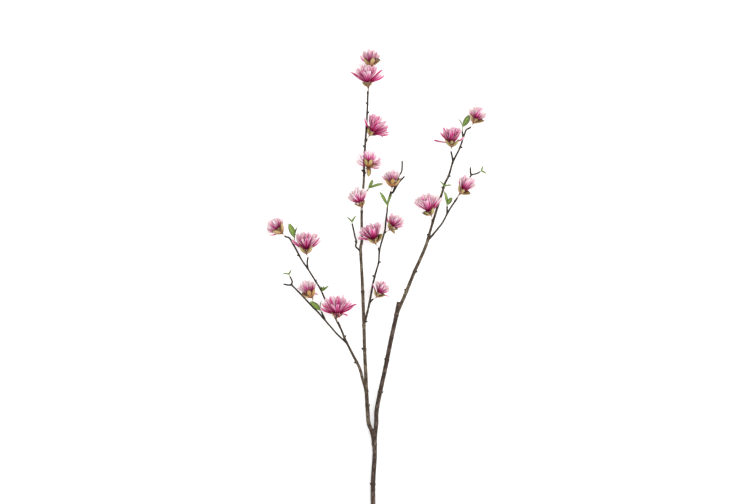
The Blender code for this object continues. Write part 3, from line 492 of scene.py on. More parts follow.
class Route:
    """The smooth centre line of a stem, with stations close together along it."""

    def __init__(self, points: list[tuple[Vector, float]], step: float) -> None:
        """Lays the line.

        Args:
            points: (place, radius) pairs that it runs through.
            step: about how far apart its stations are.
        """
        line = self._smooth(points, step)
        aside = Vector((1.0, 0.0, 0.0))
        distance = 0.0
        self.stations: list[Station] = []
        for i, (place, radius) in enumerate(line):
            before, after = line[max(i - 1, 0)][0], line[min(i + 1, len(line) - 1)][0]
            along = (after - before).normalized()
            aside = (aside - aside.dot(along) * along).normalized()
            if i:
                distance += (place - line[i - 1][0]).length
            self.stations.append(Station(distance, place, radius, along, aside))

    @staticmethod
    def _smooth(points: list[tuple[Vector, float]], step: float) -> list[tuple[Vector, float]]:
        """A curve through the points, in pieces of about one step.

        Args:
            points: (place, radius) pairs.
            step: how long a piece is, about.

        Returns:
            (place, radius) pairs, close together.
        """
        ends = [points[0]] + list(points) + [points[-1]]
        line = []
        for (p0, _), (p1, r1), (p2, r2), (p3, _) in zip(ends, ends[1:], ends[2:], ends[3:]):
            count = max(1, round((p2 - p1).length / step))
            for i in range(count):
                t = i / count
                place = 0.5 * (2 * p1 + (p2 - p0) * t + (2 * p0 - 5 * p1 + 4 * p2 - p3) * t**2
                               + (3 * p1 - p0 - 3 * p2 + p3) * t**3)
                line.append((place, r1 + (r2 - r1) * t))
        return line + [points[-1]]

    @property
    def length(self) -> float:
        """The whole length of the line."""
        return self.stations[-1].distance

    def nearest(self, level: float) -> Station:
        """The station whose height along Y is closest to a level."""
        return min(self.stations, key=lambda station: abs(station.place.y - level))


class StemFinder:
    """Tells how near a place is to the closest stem."""

    def __init__(self, routes: dict[str, Route]) -> None:
        """Gathers every stem's stations.

        Args:
            routes: the stems by name.
        """
        stations = [station for route in routes.values() for station in route.stations]
        self.radii = [station.radius for station in stations]
        self.tree = KDTree(len(stations))
        for i, station in enumerate(stations):
            self.tree.insert(station.place, i)
        self.tree.balance()

    def clearance(self, place: Vector) -> float:
        """How far a place is from the skin of the closest stem."""
        _, i, distance = self.tree.find(place)
        return distance - self.radii[i]


@dataclass
class Blade:
    """A thin blade that bends away from a straight line: a petal, a bud scale or a leaf.

    It starts at root and heads along forward, turned towards outward by an angle that grows from
    first to last, in degrees. cup is how far its edges rise towards forward, blunt how far its
    corners are drawn back, and twist its roll by the tip. The other fields give one blade its own
    character: curl bends the tip further, sway bends it sideways, folds and fold_height run along
    it, flutter waves its edges, crease folds it at the rib, and fray tears its tip. tint is how its
    colour differs from its neighbours'.
    """

    root: Vector
    forward: Vector
    outward: Vector
    length: float
    first: float
    last: float
    spread: Callable[[float], float]
    cup: float
    blunt: float = 0.0
    twist: float = 0.0
    curl: float = 0.0
    sway: float = 0.0
    folds: float = 0.0
    fold_height: float = 0.0
    flutter: float = 0.0
    crease: float = 0.0
    fray: float = 0.0
    seed: float = 0.0
    tint: float = 0.0
    rib: list[Vector] = field(default_factory=list, init=False)

    STEPS: ClassVar[int] = 24
    HOLD: ClassVar[float] = 0.15  # share of the length before the angle starts to grow
    CURL_FROM: ClassVar[float] = 0.55  # share of the length past which the tip curls
    TWIST_EARLY: ClassVar[float] = 0.8  # below 1, more of the twist is near the foot
    TEARS: ClassVar[Pair] = (2.6, 7.0)  # how close coarse and fine tears lie at the tip
    FINE_TEAR: ClassVar[float] = 0.45  # depth of a fine tear, as a share of a coarse one's
    UNEVEN: ClassVar[float] = 0.09  # how much the width of a frayed blade varies
    UNEVEN_CLOSE: ClassVar[Pair] = (5.0, 0.8)  # how close that is along and across it
    WAVES: ClassVar[float] = 9.0  # of its edges, in radians from foot to tip
    WAVE_START: ClassVar[float] = 3.0  # how much its seed moves them
    TESTED: ClassVar[tuple[float, ...]] = (0.25, 0.4, 0.55, 0.7, 0.82, 0.92, 1.0)  # shares of its length

    def __post_init__(self) -> None:
        """Squares up the directions and walks the rib."""
        self.forward = self.forward.normalized()
        self.outward = (self.outward - self.outward.dot(self.forward) * self.forward).normalized()
        self.side = self.forward.cross(self.outward)
        self.rib = [self.root]
        for i in range(self.STEPS):
            share = (i + 0.5) / self.STEPS
            heading = (self.heading(share) + self.side * self.sway * share).normalized()
            self.rib.append(self.rib[-1] + heading * self.length / self.STEPS)

    def angle(self, share: float) -> float:
        """How far the rib is turned from forward at a share of its length, in radians.

        Args:
            share: of the blade's length.

        Returns:
            The angle.
        """
        x = min(1.0, max(0.0, (share - self.HOLD) / (1 - self.HOLD)))
        turned = self.first + (self.last - self.first) * x * x * (3 - 2 * x)
        past = max(0.0, share - self.CURL_FROM) / (1 - self.CURL_FROM)
        return math.radians(turned + self.curl * past * past)

    def heading(self, share: float) -> Vector:
        """Which way the rib runs at a share of its length."""
        turned = self.angle(share)
        return math.cos(turned) * self.forward + math.sin(turned) * self.outward

    def torn(self, across: float) -> float:
        """How much shorter the tip is at a place across it, as a share of the length.

        Args:
            across: the place, from -1 to 1.

        Returns:
            The share.
        """
        coarse, fine = (
            noise.noise(Vector((across * close, self.seed, layer)))
            for close, layer in zip(self.TEARS, (0.0, 5.0))
        )
        return self.blunt * abs(across) ** 3 + self.fray * max(0.0, coarse + self.FINE_TEAR * fine)

    def point(self, share: float, across: float) -> Vector:
        """The point of the blade at a place along and across it.

        Args:
            share: of its length.
            across: from -1 at one edge to 1 at the other.

        Returns:
            The point.
        """
        place = max(0.0, share - self.torn(across) * share**3) * self.STEPS
        i = min(int(place), self.STEPS - 1)
        rib = self.rib[i].lerp(self.rib[i + 1], place - i)
        turned = self.angle(share)
        out = math.cos(turned) * self.outward - math.sin(turned) * self.forward
        roll = math.radians(self.twist) * share**self.TWIST_EARLY
        side = math.cos(roll) * self.side - math.sin(roll) * out
        facing = math.cos(roll) * out + math.sin(roll) * self.side
        half = self.spread(share) / 2
        if self.fray:
            along, over = self.UNEVEN_CLOSE
            half *= 1 + self.UNEVEN * noise.noise(Vector((share * along, self.seed, across * over)))
        rise = self.cup * 2 * half * across**2 + self.crease * half * abs(across)
        rise += self.fold_height * math.sin(across * self.folds * math.pi + self.seed) * math.sqrt(share)
        wave = math.sin(share * self.WAVES + self.seed * self.WAVE_START + across)
        rise += self.flutter * wave * across**2 * share
        return rib + side * across * half - facing * rise

    def samples(self) -> list[Vector]:
        """Points that stand for the blade where its room is tested."""
        return [self.point(share, across) for share in self.TESTED for across in (-1, 0, 1)]

    def lay(self, shape: Mesh, columns: int, rows: int) -> None:
        """Adds the blade to a mesh, with its own place on the UV map and its tint.

        Args:
            shape: the mesh, which has a UV map and a float layer for the tint.
            columns: faces across the blade.
            rows: faces along it.
        """
        tints = shape.verts.layers.float[TINT]
        made = bmesh.ops.create_grid(shape, x_segments=columns, y_segments=rows, size=0.5, calc_uvs=True)
        for vert in made["verts"]:
            vert.co = self.point(vert.co.y + 0.5, vert.co.x * 2)
            vert.co.z = max(vert.co.z, LEAST_HEIGHT)
            vert[tints] = self.tint


def new_shape() -> Mesh:
    """An empty mesh with a UV map and the layers that the finishes read.

    Returns:
        The mesh.
    """
    shape = bmesh.new()
    shape.loops.layers.uv.new("UVMap")
    shape.verts.layers.float.new(TINT)
    shape.verts.layers.float.new(GIRTH)
    return shape


def place_piece(name: str, shape: Mesh, finish: Material,
                node: str, wall: float = 0.0) -> None:
    """Makes a mesh a smooth piece that rides on the branch.

    Args:
        name: the piece's name.
        shape: its mesh, which is used up.
        finish: its material.
        node: the solid that it stands for.
        wall: the thickness that an open sheet gets, in metres.
    """
    mesh = bpy.data.meshes.new(name)
    for face in shape.faces:
        face.smooth = True
    shape.to_mesh(mesh)
    shape.free()
    mesh.materials.append(finish)
    piece = bpy.data.objects.new(name, mesh)
    bpy.context.scene.collection.objects.link(piece)
    if wall:
        solid = piece.modifiers.new("wall", "SOLIDIFY")
        solid.thickness = wall
        solid.offset = 0.0
        solid.use_even_offset = False
    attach(piece, BODY)
    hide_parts(node)
    log.info("%s: %d faces", name, len(mesh.polygons))


def petal_spread(width: float) -> Callable[[float], float]:
    """The width of a petal along its length: a narrow claw that widens to a broad strap.

    Args:
        width: its widest width.

    Returns:
        The width as a function of the share of the length.
    """
    def spread(share: float) -> float:
        """The width at a share of the length.

        Args:
            share: of the length.

        Returns:
            The width.
        """
        if share < PETAL_WIDEST:
            swell = math.sin(math.pi / 2 * share / PETAL_WIDEST) ** PETAL_CLAW
            return PETAL_ROOT_WIDTH + (width - PETAL_ROOT_WIDTH) * swell
        past = (share - PETAL_WIDEST) / (1 - PETAL_WIDEST)
        return width * (1 - TIP_NARROWING * past**2)
    return spread


def pointed_spread(width: float, foot: float, widest: float, full: float) -> Callable[[float], float]:
    """The width of a leaf or a scale along its length.

    Args:
        width: its widest width.
        foot: its width at the foot.
        widest: the share of its length where it is widest.
        full: how round it stays before its point; 1 is a straight taper.

    Returns:
        The width as a function of the share of the length.
    """
    def spread(share: float) -> float:
        """The width at a share of the length.

        Args:
            share: of the length.

        Returns:
            The width.
        """
        if share < widest:
            return foot + (width - foot) * math.sin(math.pi / 2 * share / widest)
        past = min(1.0, (share - widest) / (1 - widest))
        return width * max(POINT_WIDTH, (1 - past**full) ** POINT_POWER)
    return spread


@dataclass(frozen=True)
class Pattern:
    """A soft noise: its scale, detail and roughness, and how close it lies across and along a piece."""

    scale: float
    detail: float
    rough: float
    across: float = 1.0
    along: float = 1.0


@dataclass(frozen=True)
class Layer:
    """Where one colour covers another: not at the value none, and by the share at the value full."""

    none: float
    full: float
    share: float = 1.0


@dataclass(frozen=True)
class Surface:
    """How rough, downy and see-through a part is, and how strong and deep its relief is."""

    roughness: float
    sheen: float = 0.0
    through: float = 0.0
    relief: float = 0.0
    relief_depth: float = 0.3 * MM


class Recipe:
    """A material's node tree, written with short calls."""

    APART: ClassVar[float] = 40.0  # how far apart the patterns of two blades lie
    LIGHT_DEPTH: ClassVar[float] = 2.0 * MM  # how deep light gets into a soft part
    SHINE: ClassVar[float] = 0.2

    def __init__(self, name: str) -> None:
        """Starts a material with only its shader.

        Args:
            name: the material's name.
        """
        self.material = bpy.data.materials.new(name)
        self.material.use_nodes = True
        self.nodes = self.material.node_tree.nodes
        self.links = self.material.node_tree.links
        self.shader = self.nodes["Principled BSDF"]

    def node(self, kind: str, **settings: object) -> bpy.types.Node:
        """Adds a node and sets its properties.

        Args:
            kind: its type.
            settings: its properties.

        Returns:
            The node.
        """
        made = self.nodes.new(kind)
        for key, value in settings.items():
            setattr(made, key, value)
        return made

    def feed(self, source: object, node: bpy.types.Node, socket: str | int) -> None:
        """Links a source into a socket, or sets the socket where the source is a plain value.

        Args:
            source: a socket or a value.
            node: the node that it goes into.
            socket: which of that node's sockets, by name or number.
        """
        if isinstance(source, bpy.types.NodeSocket):
            self.links.new(source, node.inputs[socket])
        else:
            node.inputs[socket].default_value = source

    def math(self, operation: str, first: object, second: object = 0.0) -> object:
        """The result of one sum with one or two values.

        Args:
            operation: the sum.
            first: a socket or a value.
            second: another, for a sum of two.

        Returns:
            The result's socket.
        """
        made = self.node("ShaderNodeMath", operation=operation)
        self.feed(first, made, 0)
        self.feed(second, made, 1)
        return made.outputs[0]

    def times(self, first: object, second: object) -> object:
        """Two values multiplied."""
        return self.math("MULTIPLY", first, second)

    def plus(self, first: object, second: object) -> object:
        """Two values added."""
        return self.math("ADD", first, second)

    def moved(self, value: object, by: object, strength: float, middle: float = 0.5) -> object:
        """A value, moved by how far another is from its middle."""
        return self.plus(value, self.times(self.math("SUBTRACT", by, middle), strength))

    def uv(self) -> tuple[object, object]:
        """The two directions of the piece's UV map.

        Returns:
            The sockets of both.
        """
        split = self.node("ShaderNodeSeparateXYZ")
        self.feed(self.node("ShaderNodeTexCoord").outputs["UV"], split, 0)
        return split.outputs[0], split.outputs[1]

    def off_rib(self, u: object) -> object:
        """How far a place across a blade is from its rib: 0 at the rib and 0.5 at the edge."""
        return self.math("ABSOLUTE", self.math("SUBTRACT", u, 0.5))

    def place(self) -> object:
        """Object coordinates."""
        return self.node("ShaderNodeTexCoord").outputs["Object"]

    def value(self, name: str) -> object:
        """A float attribute of the mesh."""
        return self.node("ShaderNodeAttribute", attribute_name=name).outputs["Fac"]

    def vector(self, x: object, y: object, z: object) -> object:
        """Three values as one vector.

        Args:
            x: a socket or a value.
            y: another.
            z: another.

        Returns:
            The vector's socket.
        """
        made = self.node("ShaderNodeCombineXYZ")
        for i, source in enumerate((x, y, z)):
            self.feed(source, made, i)
        return made.outputs[0]

    def noise(self, where: object, pattern: Pattern) -> object:
        """Soft noise from 0 to 1.

        Args:
            where: the place that it is read at.
            pattern: what it is like.

        Returns:
            The noise's socket.
        """
        made = self.node("ShaderNodeTexNoise")
        self.feed(where, made, "Vector")
        made.inputs["Scale"].default_value = pattern.scale
        made.inputs["Detail"].default_value = pattern.detail
        made.inputs["Roughness"].default_value = pattern.rough
        return made.outputs["Fac"]

    def fibres(self, u: object, v: object, tint: object, pattern: Pattern) -> object:
        """Noise that is drawn out along a blade and is another one on each blade.

        Args:
            u: the place across the blade.
            v: the place along it.
            tint: the blade's own value.
            pattern: what the noise is like.

        Returns:
            The noise's socket.
        """
        where = self.vector(self.times(u, pattern.across), self.times(v, pattern.along),
                            self.times(tint, self.APART))
        return self.noise(where, pattern)

    def ramp(self, source: object, stops: Stops) -> object:
        """A colour that changes along a value, by (value, colour) stops.

        Args:
            source: the value.
            stops: the colours, each with the value that it belongs to.

        Returns:
            The colour's socket.
        """
        made = self.node("ShaderNodeValToRGB")
        made.color_ramp.interpolation = "EASE"
        elements = made.color_ramp.elements
        while len(elements) < len(stops):
            elements.new(0.5)
        for element, (position, colour) in zip(elements, stops):
            element.position = position
            element.color = (*colour, 1.0)
        self.feed(source, made, 0)
        return made.outputs[0]

    def steps(self, source: object, low: float, high: float) -> object:
        """0 at low, 1 at high and a smooth change between, whichever of them is larger.

        Args:
            source: the value.
            low: where the result is 0.
            high: where it is 1.

        Returns:
            The result's socket.
        """
        made = self.node("ShaderNodeMapRange", interpolation_type="SMOOTHSTEP")
        self.feed(source, made, 0)
        made.inputs["From Min"].default_value = low
        made.inputs["From Max"].default_value = high
        return made.outputs[0]

    def mix(self, share: object, first: object, second: object, blend: str = "MIX") -> object:
        """Two colours mixed.

        Args:
            share: how much there is of the second.
            first: a colour.
            second: another.
            blend: how the second is laid over the first.

        Returns:
            The colour's socket.
        """
        made = self.node("ShaderNodeMix", data_type="RGBA", blend_type=blend)
        self.feed(share, made, 0)
        for socket, source in ((6, first), (7, second)):  # the node's two colour inputs
            self.feed((*source, 1.0) if isinstance(source, tuple) else source, made, socket)
        return made.outputs[2]

    def within(self, source: object, layer: Layer) -> object:
        """How far a value is into a layer, from 0 to 1."""
        return self.steps(source, layer.none, layer.full)

    def cover(self, below: object, colour: object, source: object, layer: Layer) -> object:
        """A colour laid over another where a value lies in a layer."""
        return self.mix(self.times(self.within(source, layer), layer.share), below, colour)

    def dress(self, colour: object, surface: Surface, height: object = None) -> Material:
        """Sets the shader, and raises the surface where a height is given.

        Args:
            colour: a socket or a value.
            surface: how rough, downy and see-through the material is, and its relief.
            height: the socket of the relief's height.

        Returns:
            The finished material.
        """
        self.feed(colour, self.shader, "Base Color")
        self.shader.inputs["Roughness"].default_value = surface.roughness
        self.shader.inputs["Sheen Weight"].default_value = surface.sheen
        self.shader.inputs["Subsurface Weight"].default_value = surface.through
        self.shader.inputs["Subsurface Scale"].default_value = self.LIGHT_DEPTH
        self.shader.inputs["Specular IOR Level"].default_value = self.SHINE
        if height is not None:
            made = self.node("ShaderNodeBump")
            made.inputs["Strength"].default_value = surface.relief
            made.inputs["Distance"].default_value = surface.relief_depth
            self.feed(height, made, "Height")
            self.links.new(made.outputs[0], self.shader.inputs["Normal"])
        return self.material


@dataclass(frozen=True)
class BarkFinish:
    """Bark: nearly black on the twigs and brown on thicker stems, with paler patches and pores."""

    name: str = "bark"
    twig: Triple = (0.018, 0.013, 0.009)
    twig_patch: Triple = (0.075, 0.060, 0.042)
    leader: Triple = (0.076, 0.052, 0.034)
    leader_patch: Triple = (0.215, 0.175, 0.115)
    trunk: Triple = (0.046, 0.029, 0.022)
    trunk_patch: Triple = (0.165, 0.116, 0.094)
    blot: Triple = (0.030, 0.019, 0.013)
    crack: Triple = (0.012, 0.008, 0.006)
    pore: Triple = (0.34, 0.28, 0.20)
    slender: Pair = (1.8, 3.2)  # radii in millimetres between twig and leader
    thick: Pair = (3.7, 4.6)  # and between leader and trunk
    grain: Pattern = Pattern(1.3, 5.0, 0.62, along=0.16)
    mottle: Pattern = Pattern(0.16, 3.0, 0.55, along=0.5)
    bands: Pattern = Pattern(0.33, 4.0, 0.6, along=0.35)
    pore_scale: float = 0.55
    pore_along: float = 0.8
    pore_height: float = 0.4  # as a share of the grain's
    patches: Layer = Layer(0.46, 0.62, 0.72)
    blots: Layer = Layer(0.52, 0.38, 0.8)
    pores: Layer = Layer(0.22, 0.08, 0.5)
    cracks: Layer = Layer(0.5, 0.32, 0.85)
    surface: Surface = Surface(0.82, relief=0.7, relief_depth=0.5 * MM)

    def build(self) -> Material:
        """Makes the material, whose pattern runs along each stem.

        Returns:
            The material.
        """
        r = Recipe(self.name)
        u, v = r.uv()
        girth = r.value(GIRTH)
        turn = r.times(u, 2 * math.pi)
        x = r.times(r.math("COSINE", turn), girth)
        y = r.times(r.math("SINE", turn), girth)
        grain, mottle, bands = (
            r.noise(r.vector(x, y, r.times(v, pattern.along)), pattern)
            for pattern in (self.grain, self.mottle, self.bands)
        )
        cells = r.node("ShaderNodeTexVoronoi", feature="F1")
        r.feed(r.vector(x, y, r.times(v, self.pore_along)), cells, "Vector")
        cells.inputs["Scale"].default_value = self.pore_scale
        dots = r.within(cells.outputs["Distance"], self.pores)
        grown, full = r.steps(girth, *self.slender), r.steps(girth, *self.thick)
        body = r.mix(full, r.mix(grown, self.twig, self.leader), self.trunk)
        light = r.mix(full, r.mix(grown, self.twig_patch, self.leader_patch), self.trunk_patch)
        body = r.cover(body, light, mottle, self.patches)
        body = r.cover(body, self.blot, bands, self.blots)
        body = r.mix(r.times(dots, self.pores.share), body, self.pore)
        body = r.cover(body, self.crack, grain, self.cracks)
        return r.dress(body, self.surface, r.plus(grain, r.times(dots, self.pore_height)))


@dataclass(frozen=True)
class PetalFinish:
    """Petals: dark at the foot, pink along the middle and pale at the torn tip, with fine veins."""

    name: str = "petal"
    stops: Stops = (
        (0.0, (0.110, 0.002, 0.018)),
        (0.30, (0.265, 0.004, 0.050)),
        (0.50, (0.430, 0.008, 0.120)),
        (0.68, (0.630, 0.098, 0.315)),
        (0.85, (0.810, 0.430, 0.580)),
        (1.0, (0.860, 0.735, 0.740)),
    )
    edge: Triple = (0.78, 0.50, 0.58)
    hem: Triple = (0.47, 0.21, 0.28)
    vein: Triple = (0.36, 0.006, 0.090)
    streaks: Pattern = Pattern(1.6, 3.0, 0.6, across=9.0, along=0.9)
    streaked: float = 0.44  # how far a streak moves the colours along the petal
    own: Layer = Layer(0.38, 0.86, 0.5)  # where, and how far, the petal's own tint moves them
    bowed: float = 0.75  # how much further down the pale tip comes at the edges
    bow_middle: float = 0.17  # from the rib, where the colours aren't moved
    veins: Layer = Layer(0.54, 0.66, 0.42)
    vein_ends: Pair = (0.95, 0.35)
    edges: Layer = Layer(0.36, 0.5, 0.65)
    edge_ends: Pair = (0.25, 0.7)
    hem_sides: Pair = (0.45, 0.49)
    hem_tip: Pair = (0.975, 0.995)
    hems: Layer = Layer(0.62, 0.92, 0.7)
    surface: Surface = Surface(0.6, through=0.12, relief=0.35, relief_depth=0.4 * MM)

    def build(self) -> Material:
        """Makes the material, whose pattern runs along each petal.

        Returns:
            The material.
        """
        r = Recipe(self.name)
        u, v = r.uv()
        tint = r.value(TINT)
        off = r.off_rib(u)
        streaks = r.fibres(u, v, tint, self.streaks)
        paler = r.times(r.math("SUBTRACT", tint, 0.5), self.own.share)
        where = r.plus(v, r.times(paler, r.within(v, self.own)))
        where = r.moved(where, streaks, self.streaked)
        where = r.moved(where, off, self.bowed, self.bow_middle)
        colour = r.ramp(where, self.stops)
        veins = r.times(r.within(streaks, self.veins), r.steps(v, *self.vein_ends))
        colour = r.mix(r.times(veins, self.veins.share), colour, self.vein)
        edges = r.times(r.within(off, self.edges), r.steps(v, *self.edge_ends))
        colour = r.mix(r.times(edges, self.edges.share), colour, self.edge)
        hem = r.math("MAXIMUM", r.steps(off, *self.hem_sides), r.steps(v, *self.hem_tip))
        hem = r.times(hem, r.within(v, self.hems))
        colour = r.mix(r.times(hem, self.hems.share), colour, self.hem)
        return r.dress(colour, self.surface, streaks)


@dataclass(frozen=True)
class ScaleFinish:
    """Bud scales: orange-brown at the foot, deepened there by painted shade, tan on the cheek with a painted
    highlight, olive at the tip, with fine down and painted shade along the sides.
    """

    name: str = "bud_scale"
    # the scale's own orange-brown, tan and olive along its length; the near-black foot is painted shade
    # inside the cup and between the scales, and the light tan band is partly a painted highlight on the cheek
    stops: Stops = (
        (0.0, (0.045, 0.012, 0.004)),
        (0.18, (0.140, 0.034, 0.009)),
        (0.34, (0.350, 0.142, 0.042)),
        (0.56, (0.470, 0.305, 0.135)),
        (0.84, (0.500, 0.385, 0.185)),
        (1.0, (0.310, 0.230, 0.095)),
    )
    # painted shade on a scale's sides, where the scales tuck under each other, and along the fold at its rib
    painted_shade: Triple = (0.095, 0.030, 0.010)
    hem: Triple = (0.050, 0.018, 0.006)
    orange: Triple = (1.0, 0.80, 0.62)
    olive: Triple = (0.80, 0.92, 0.66)
    orange_tints: Pair = (0.45, 0.1)
    olive_tints: Pair = (0.45, 0.9)
    down: Pattern = Pattern(1.5, 4.0, 0.65, across=11.0, along=1.6)
    downy: float = 0.7  # how far the down moves the colours along the scale
    ragged: float = 0.3  # how far it moves the dark flanks' border
    flanks: Layer = Layer(0.27, 0.45, 0.85)
    ribs: Layer = Layer(0.07, 0.02, 0.5)
    hems: Layer = Layer(0.45, 0.49, 0.8)
    surface: Surface = Surface(0.75, sheen=0.1, relief=0.6, relief_depth=0.5 * MM)

    def build(self) -> Material:
        """Makes the material, whose down runs along each scale.

        Returns:
            The material.
        """
        r = Recipe(self.name)
        u, v = r.uv()
        tint = r.value(TINT)
        off = r.off_rib(u)
        down = r.fibres(u, v, tint, self.down)
        colour = r.ramp(r.moved(v, down, self.downy), self.stops)
        colour = r.mix(r.steps(tint, *self.orange_tints), colour, self.orange, "MULTIPLY")
        colour = r.mix(r.steps(tint, *self.olive_tints), colour, self.olive, "MULTIPLY")
        # painted shade: a scale's sides and the fold at its rib are darkened
        colour = r.cover(colour, self.painted_shade, r.moved(off, down, self.ragged), self.flanks)
        colour = r.cover(colour, self.painted_shade, off, self.ribs)
        colour = r.cover(colour, self.hem, off, self.hems)
        return r.dress(colour, self.surface, down)


@dataclass(frozen=True)
class NeckFinish:
    """A flower's neck: cream and a little pink, and dark brown where it widens into the cup."""

    name: str = "neck"
    stops: Stops = (
        (0.0, (0.45, 0.36, 0.28)),
        (0.08, (0.68, 0.56, 0.49)),
        (0.44, (0.72, 0.62, 0.52)),
        (0.56, (0.30, 0.19, 0.08)),
        (0.70, (0.10, 0.045, 0.014)),
        (1.0, (0.10, 0.040, 0.012)),
    )
    mottle: Pattern = Pattern(900.0, 3.0, 0.6)
    mottled: float = 0.2  # how far the mottle moves the colours along the neck
    surface: Surface = Surface(0.6, sheen=0.1, through=0.08, relief=0.3)

    def build(self) -> Material:
        """Makes the material, which changes colour from the twig to the cup.

        Returns:
            The material.
        """
        r = Recipe(self.name)
        _, v = r.uv()
        mottle = r.noise(r.place(), self.mottle)
        colour = r.ramp(r.moved(v, mottle, self.mottled), self.stops)
        return r.dress(colour, self.surface, mottle)


@dataclass(frozen=True)
class LeafFinish:
    """Young leaves: bright green, with a pale midrib, side veins and darker blotches."""

    name: str = "leaf"
    blade: Triple = (0.235, 0.365, 0.062)
    deep: Triple = (0.040, 0.082, 0.013)
    light: Triple = (0.40, 0.52, 0.18)
    foot: Triple = (0.22, 0.27, 0.085)
    mottle: Pattern = Pattern(260.0, 4.0, 0.6)
    blotches: Pair = (0.40, 0.70)
    own: float = 0.45  # how much darker the darkest leaf is
    flanks: Layer = Layer(0.24, 0.46, 0.92)
    side_veins: float = 9.0  # on each side of a leaf
    slant: float = 0.55  # how far forward a side vein runs from the midrib to the edge
    veins: Layer = Layer(0.8, 1.0, 0.28)
    midrib: Layer = Layer(0.045, 0.012, 0.7)
    feet: Pair = (0.16, 0.0)
    blotch_height: float = 0.4  # as a share of a vein's depth
    surface: Surface = Surface(0.42, sheen=0.05, through=0.08, relief=0.45)

    def build(self) -> Material:
        """Makes the material, whose veins follow each leaf.

        Returns:
            The material.
        """
        r = Recipe(self.name)
        u, v = r.uv()
        off = r.off_rib(u)
        mottle = r.noise(r.place(), self.mottle)
        colour = r.mix(r.steps(mottle, *self.blotches), self.blade, self.deep)
        colour = r.mix(r.times(r.value(TINT), self.own), colour, self.deep)
        colour = r.cover(colour, self.deep, off, self.flanks)
        run = r.math("SUBTRACT", r.times(v, self.side_veins), r.times(off, self.side_veins * self.slant))
        veins = r.within(r.math("SINE", r.times(run, 2 * math.pi)), self.veins)
        midrib = r.within(off, self.midrib)
        colour = r.mix(r.times(veins, self.veins.share), colour, self.light)
        colour = r.mix(r.times(midrib, self.midrib.share), colour, self.light)
        colour = r.mix(r.steps(v, *self.feet), colour, self.foot)
        sunk = r.math("MAXIMUM", veins, midrib)
        height = r.math("SUBTRACT", r.times(mottle, self.blotch_height), sunk)
        return r.dress(colour, self.surface, height)


@dataclass(frozen=True)
class SoftFinish:
    """A plain soft part with some mottle: a green stalk, a stamen or the flower's middle."""

    name: str
    foot: Triple
    tip: Triple
    mottle: Pattern = Pattern(700.0, 3.0, 0.6)
    mottled: float = 0.5  # how far the mottle moves the change of colour
    change: Pair = (0.1, 0.9)  # shares of the length between which it changes
    surface: Surface = Surface(0.6, sheen=0.1, through=0.06, relief=0.4)

    def build(self) -> Material:
        """Makes the material, which changes colour from foot to tip.

        Returns:
            The material.
        """
        r = Recipe(self.name)
        _, v = r.uv()
        mottle = r.noise(r.place(), self.mottle)
        colour = r.mix(r.steps(r.moved(v, mottle, self.mottled), *self.change), self.foot, self.tip)
        return r.dress(colour, self.surface, mottle)


@dataclass(frozen=True)
class CutWoodFinish:
    """The cut end of the wood: pale rings round a dark pith, inside a rim of bark."""

    name: str = "cut_wood"
    pale: Triple = (0.52, 0.38, 0.21)
    ring: Triple = (0.30, 0.18, 0.085)
    pith: Triple = (0.13, 0.07, 0.035)
    ring_count: float = 5.0
    wobble: Pattern = Pattern(420.0, 3.0, 0.6)
    wobbly: float = 0.7  # how far a ring wanders, in rings
    rings: Layer = Layer(0.2, 1.0, 0.7)
    rays: Pattern = Pattern(1.0, 2.0, 0.5, across=60.0)
    ray_lines: Layer = Layer(0.55, 0.8, 0.4)
    pith_ends: Pair = (0.82, 0.95)
    surface: Surface = Surface(0.8, relief=0.3)

    def build(self) -> Material:
        """Makes the material, whose rings follow the UV map's second direction from rim to pith.

        Returns:
            The material.
        """
        r = Recipe(self.name)
        u, v = r.uv()
        wobble = r.noise(r.place(), self.wobble)
        where = r.plus(r.times(v, self.ring_count), r.times(wobble, self.wobbly))
        rings = r.within(r.math("SINE", r.times(where, 2 * math.pi)), self.rings)
        rays = r.noise(r.vector(r.times(u, self.rays.across), v, 0.0), self.rays)
        colour = r.mix(r.times(rings, self.rings.share), self.pale, self.ring)
        colour = r.cover(colour, self.ring, rays, self.ray_lines)
        colour = r.mix(r.steps(v, *self.pith_ends), colour, self.pith)
        return r.dress(colour, self.surface, r.plus(rings, rays))


@dataclass(frozen=True)
class FloorFinish:
    """The pale surface below the branch."""

    name: str = "pale_floor"
    colour: Triple = (0.96, 0.96, 0.955)
    light: Triple = (1.0, 1.0, 1.0)
    glow: float = 0.19  # as on a light table, so that shadows stay faint
    surface: Surface = Surface(0.95)

    def build(self) -> Material:
        """Makes the material, which glows a little.

        Returns:
            The material.
        """
        r = Recipe(self.name)
        r.shader.inputs["Emission Color"].default_value = (*self.light, 1.0)
        r.shader.inputs["Emission Strength"].default_value = self.glow
        return r.dress((*self.colour, 1.0), self.surface)


@dataclass(frozen=True)
class Palette:
    """Every finish of the branch, made once."""

    bark: Material
    petal: Material
    scale: Material
    neck: Material
    leaf: Material
    stalk: Material
    stamen: Material
    pistil: Material
    cut_wood: Material

    @classmethod
    def mix(cls) -> "Palette":
        """Makes the materials.

        Returns:
            The palette.
        """
        return cls(
            bark=BarkFinish().build(),
            petal=PetalFinish().build(),
            scale=ScaleFinish().build(),
            neck=NeckFinish().build(),
            leaf=LeafFinish().build(),
            stalk=SoftFinish("green_stalk", (0.16, 0.15, 0.06), (0.22, 0.34, 0.09)).build(),
            stamen=SoftFinish("stamen", (0.45, 0.06, 0.16), (0.78, 0.60, 0.42)).build(),
            pistil=SoftFinish("pistil", (0.24, 0.30, 0.07), (0.50, 0.34, 0.20)).build(),
            cut_wood=CutWoodFinish().build(),
        )


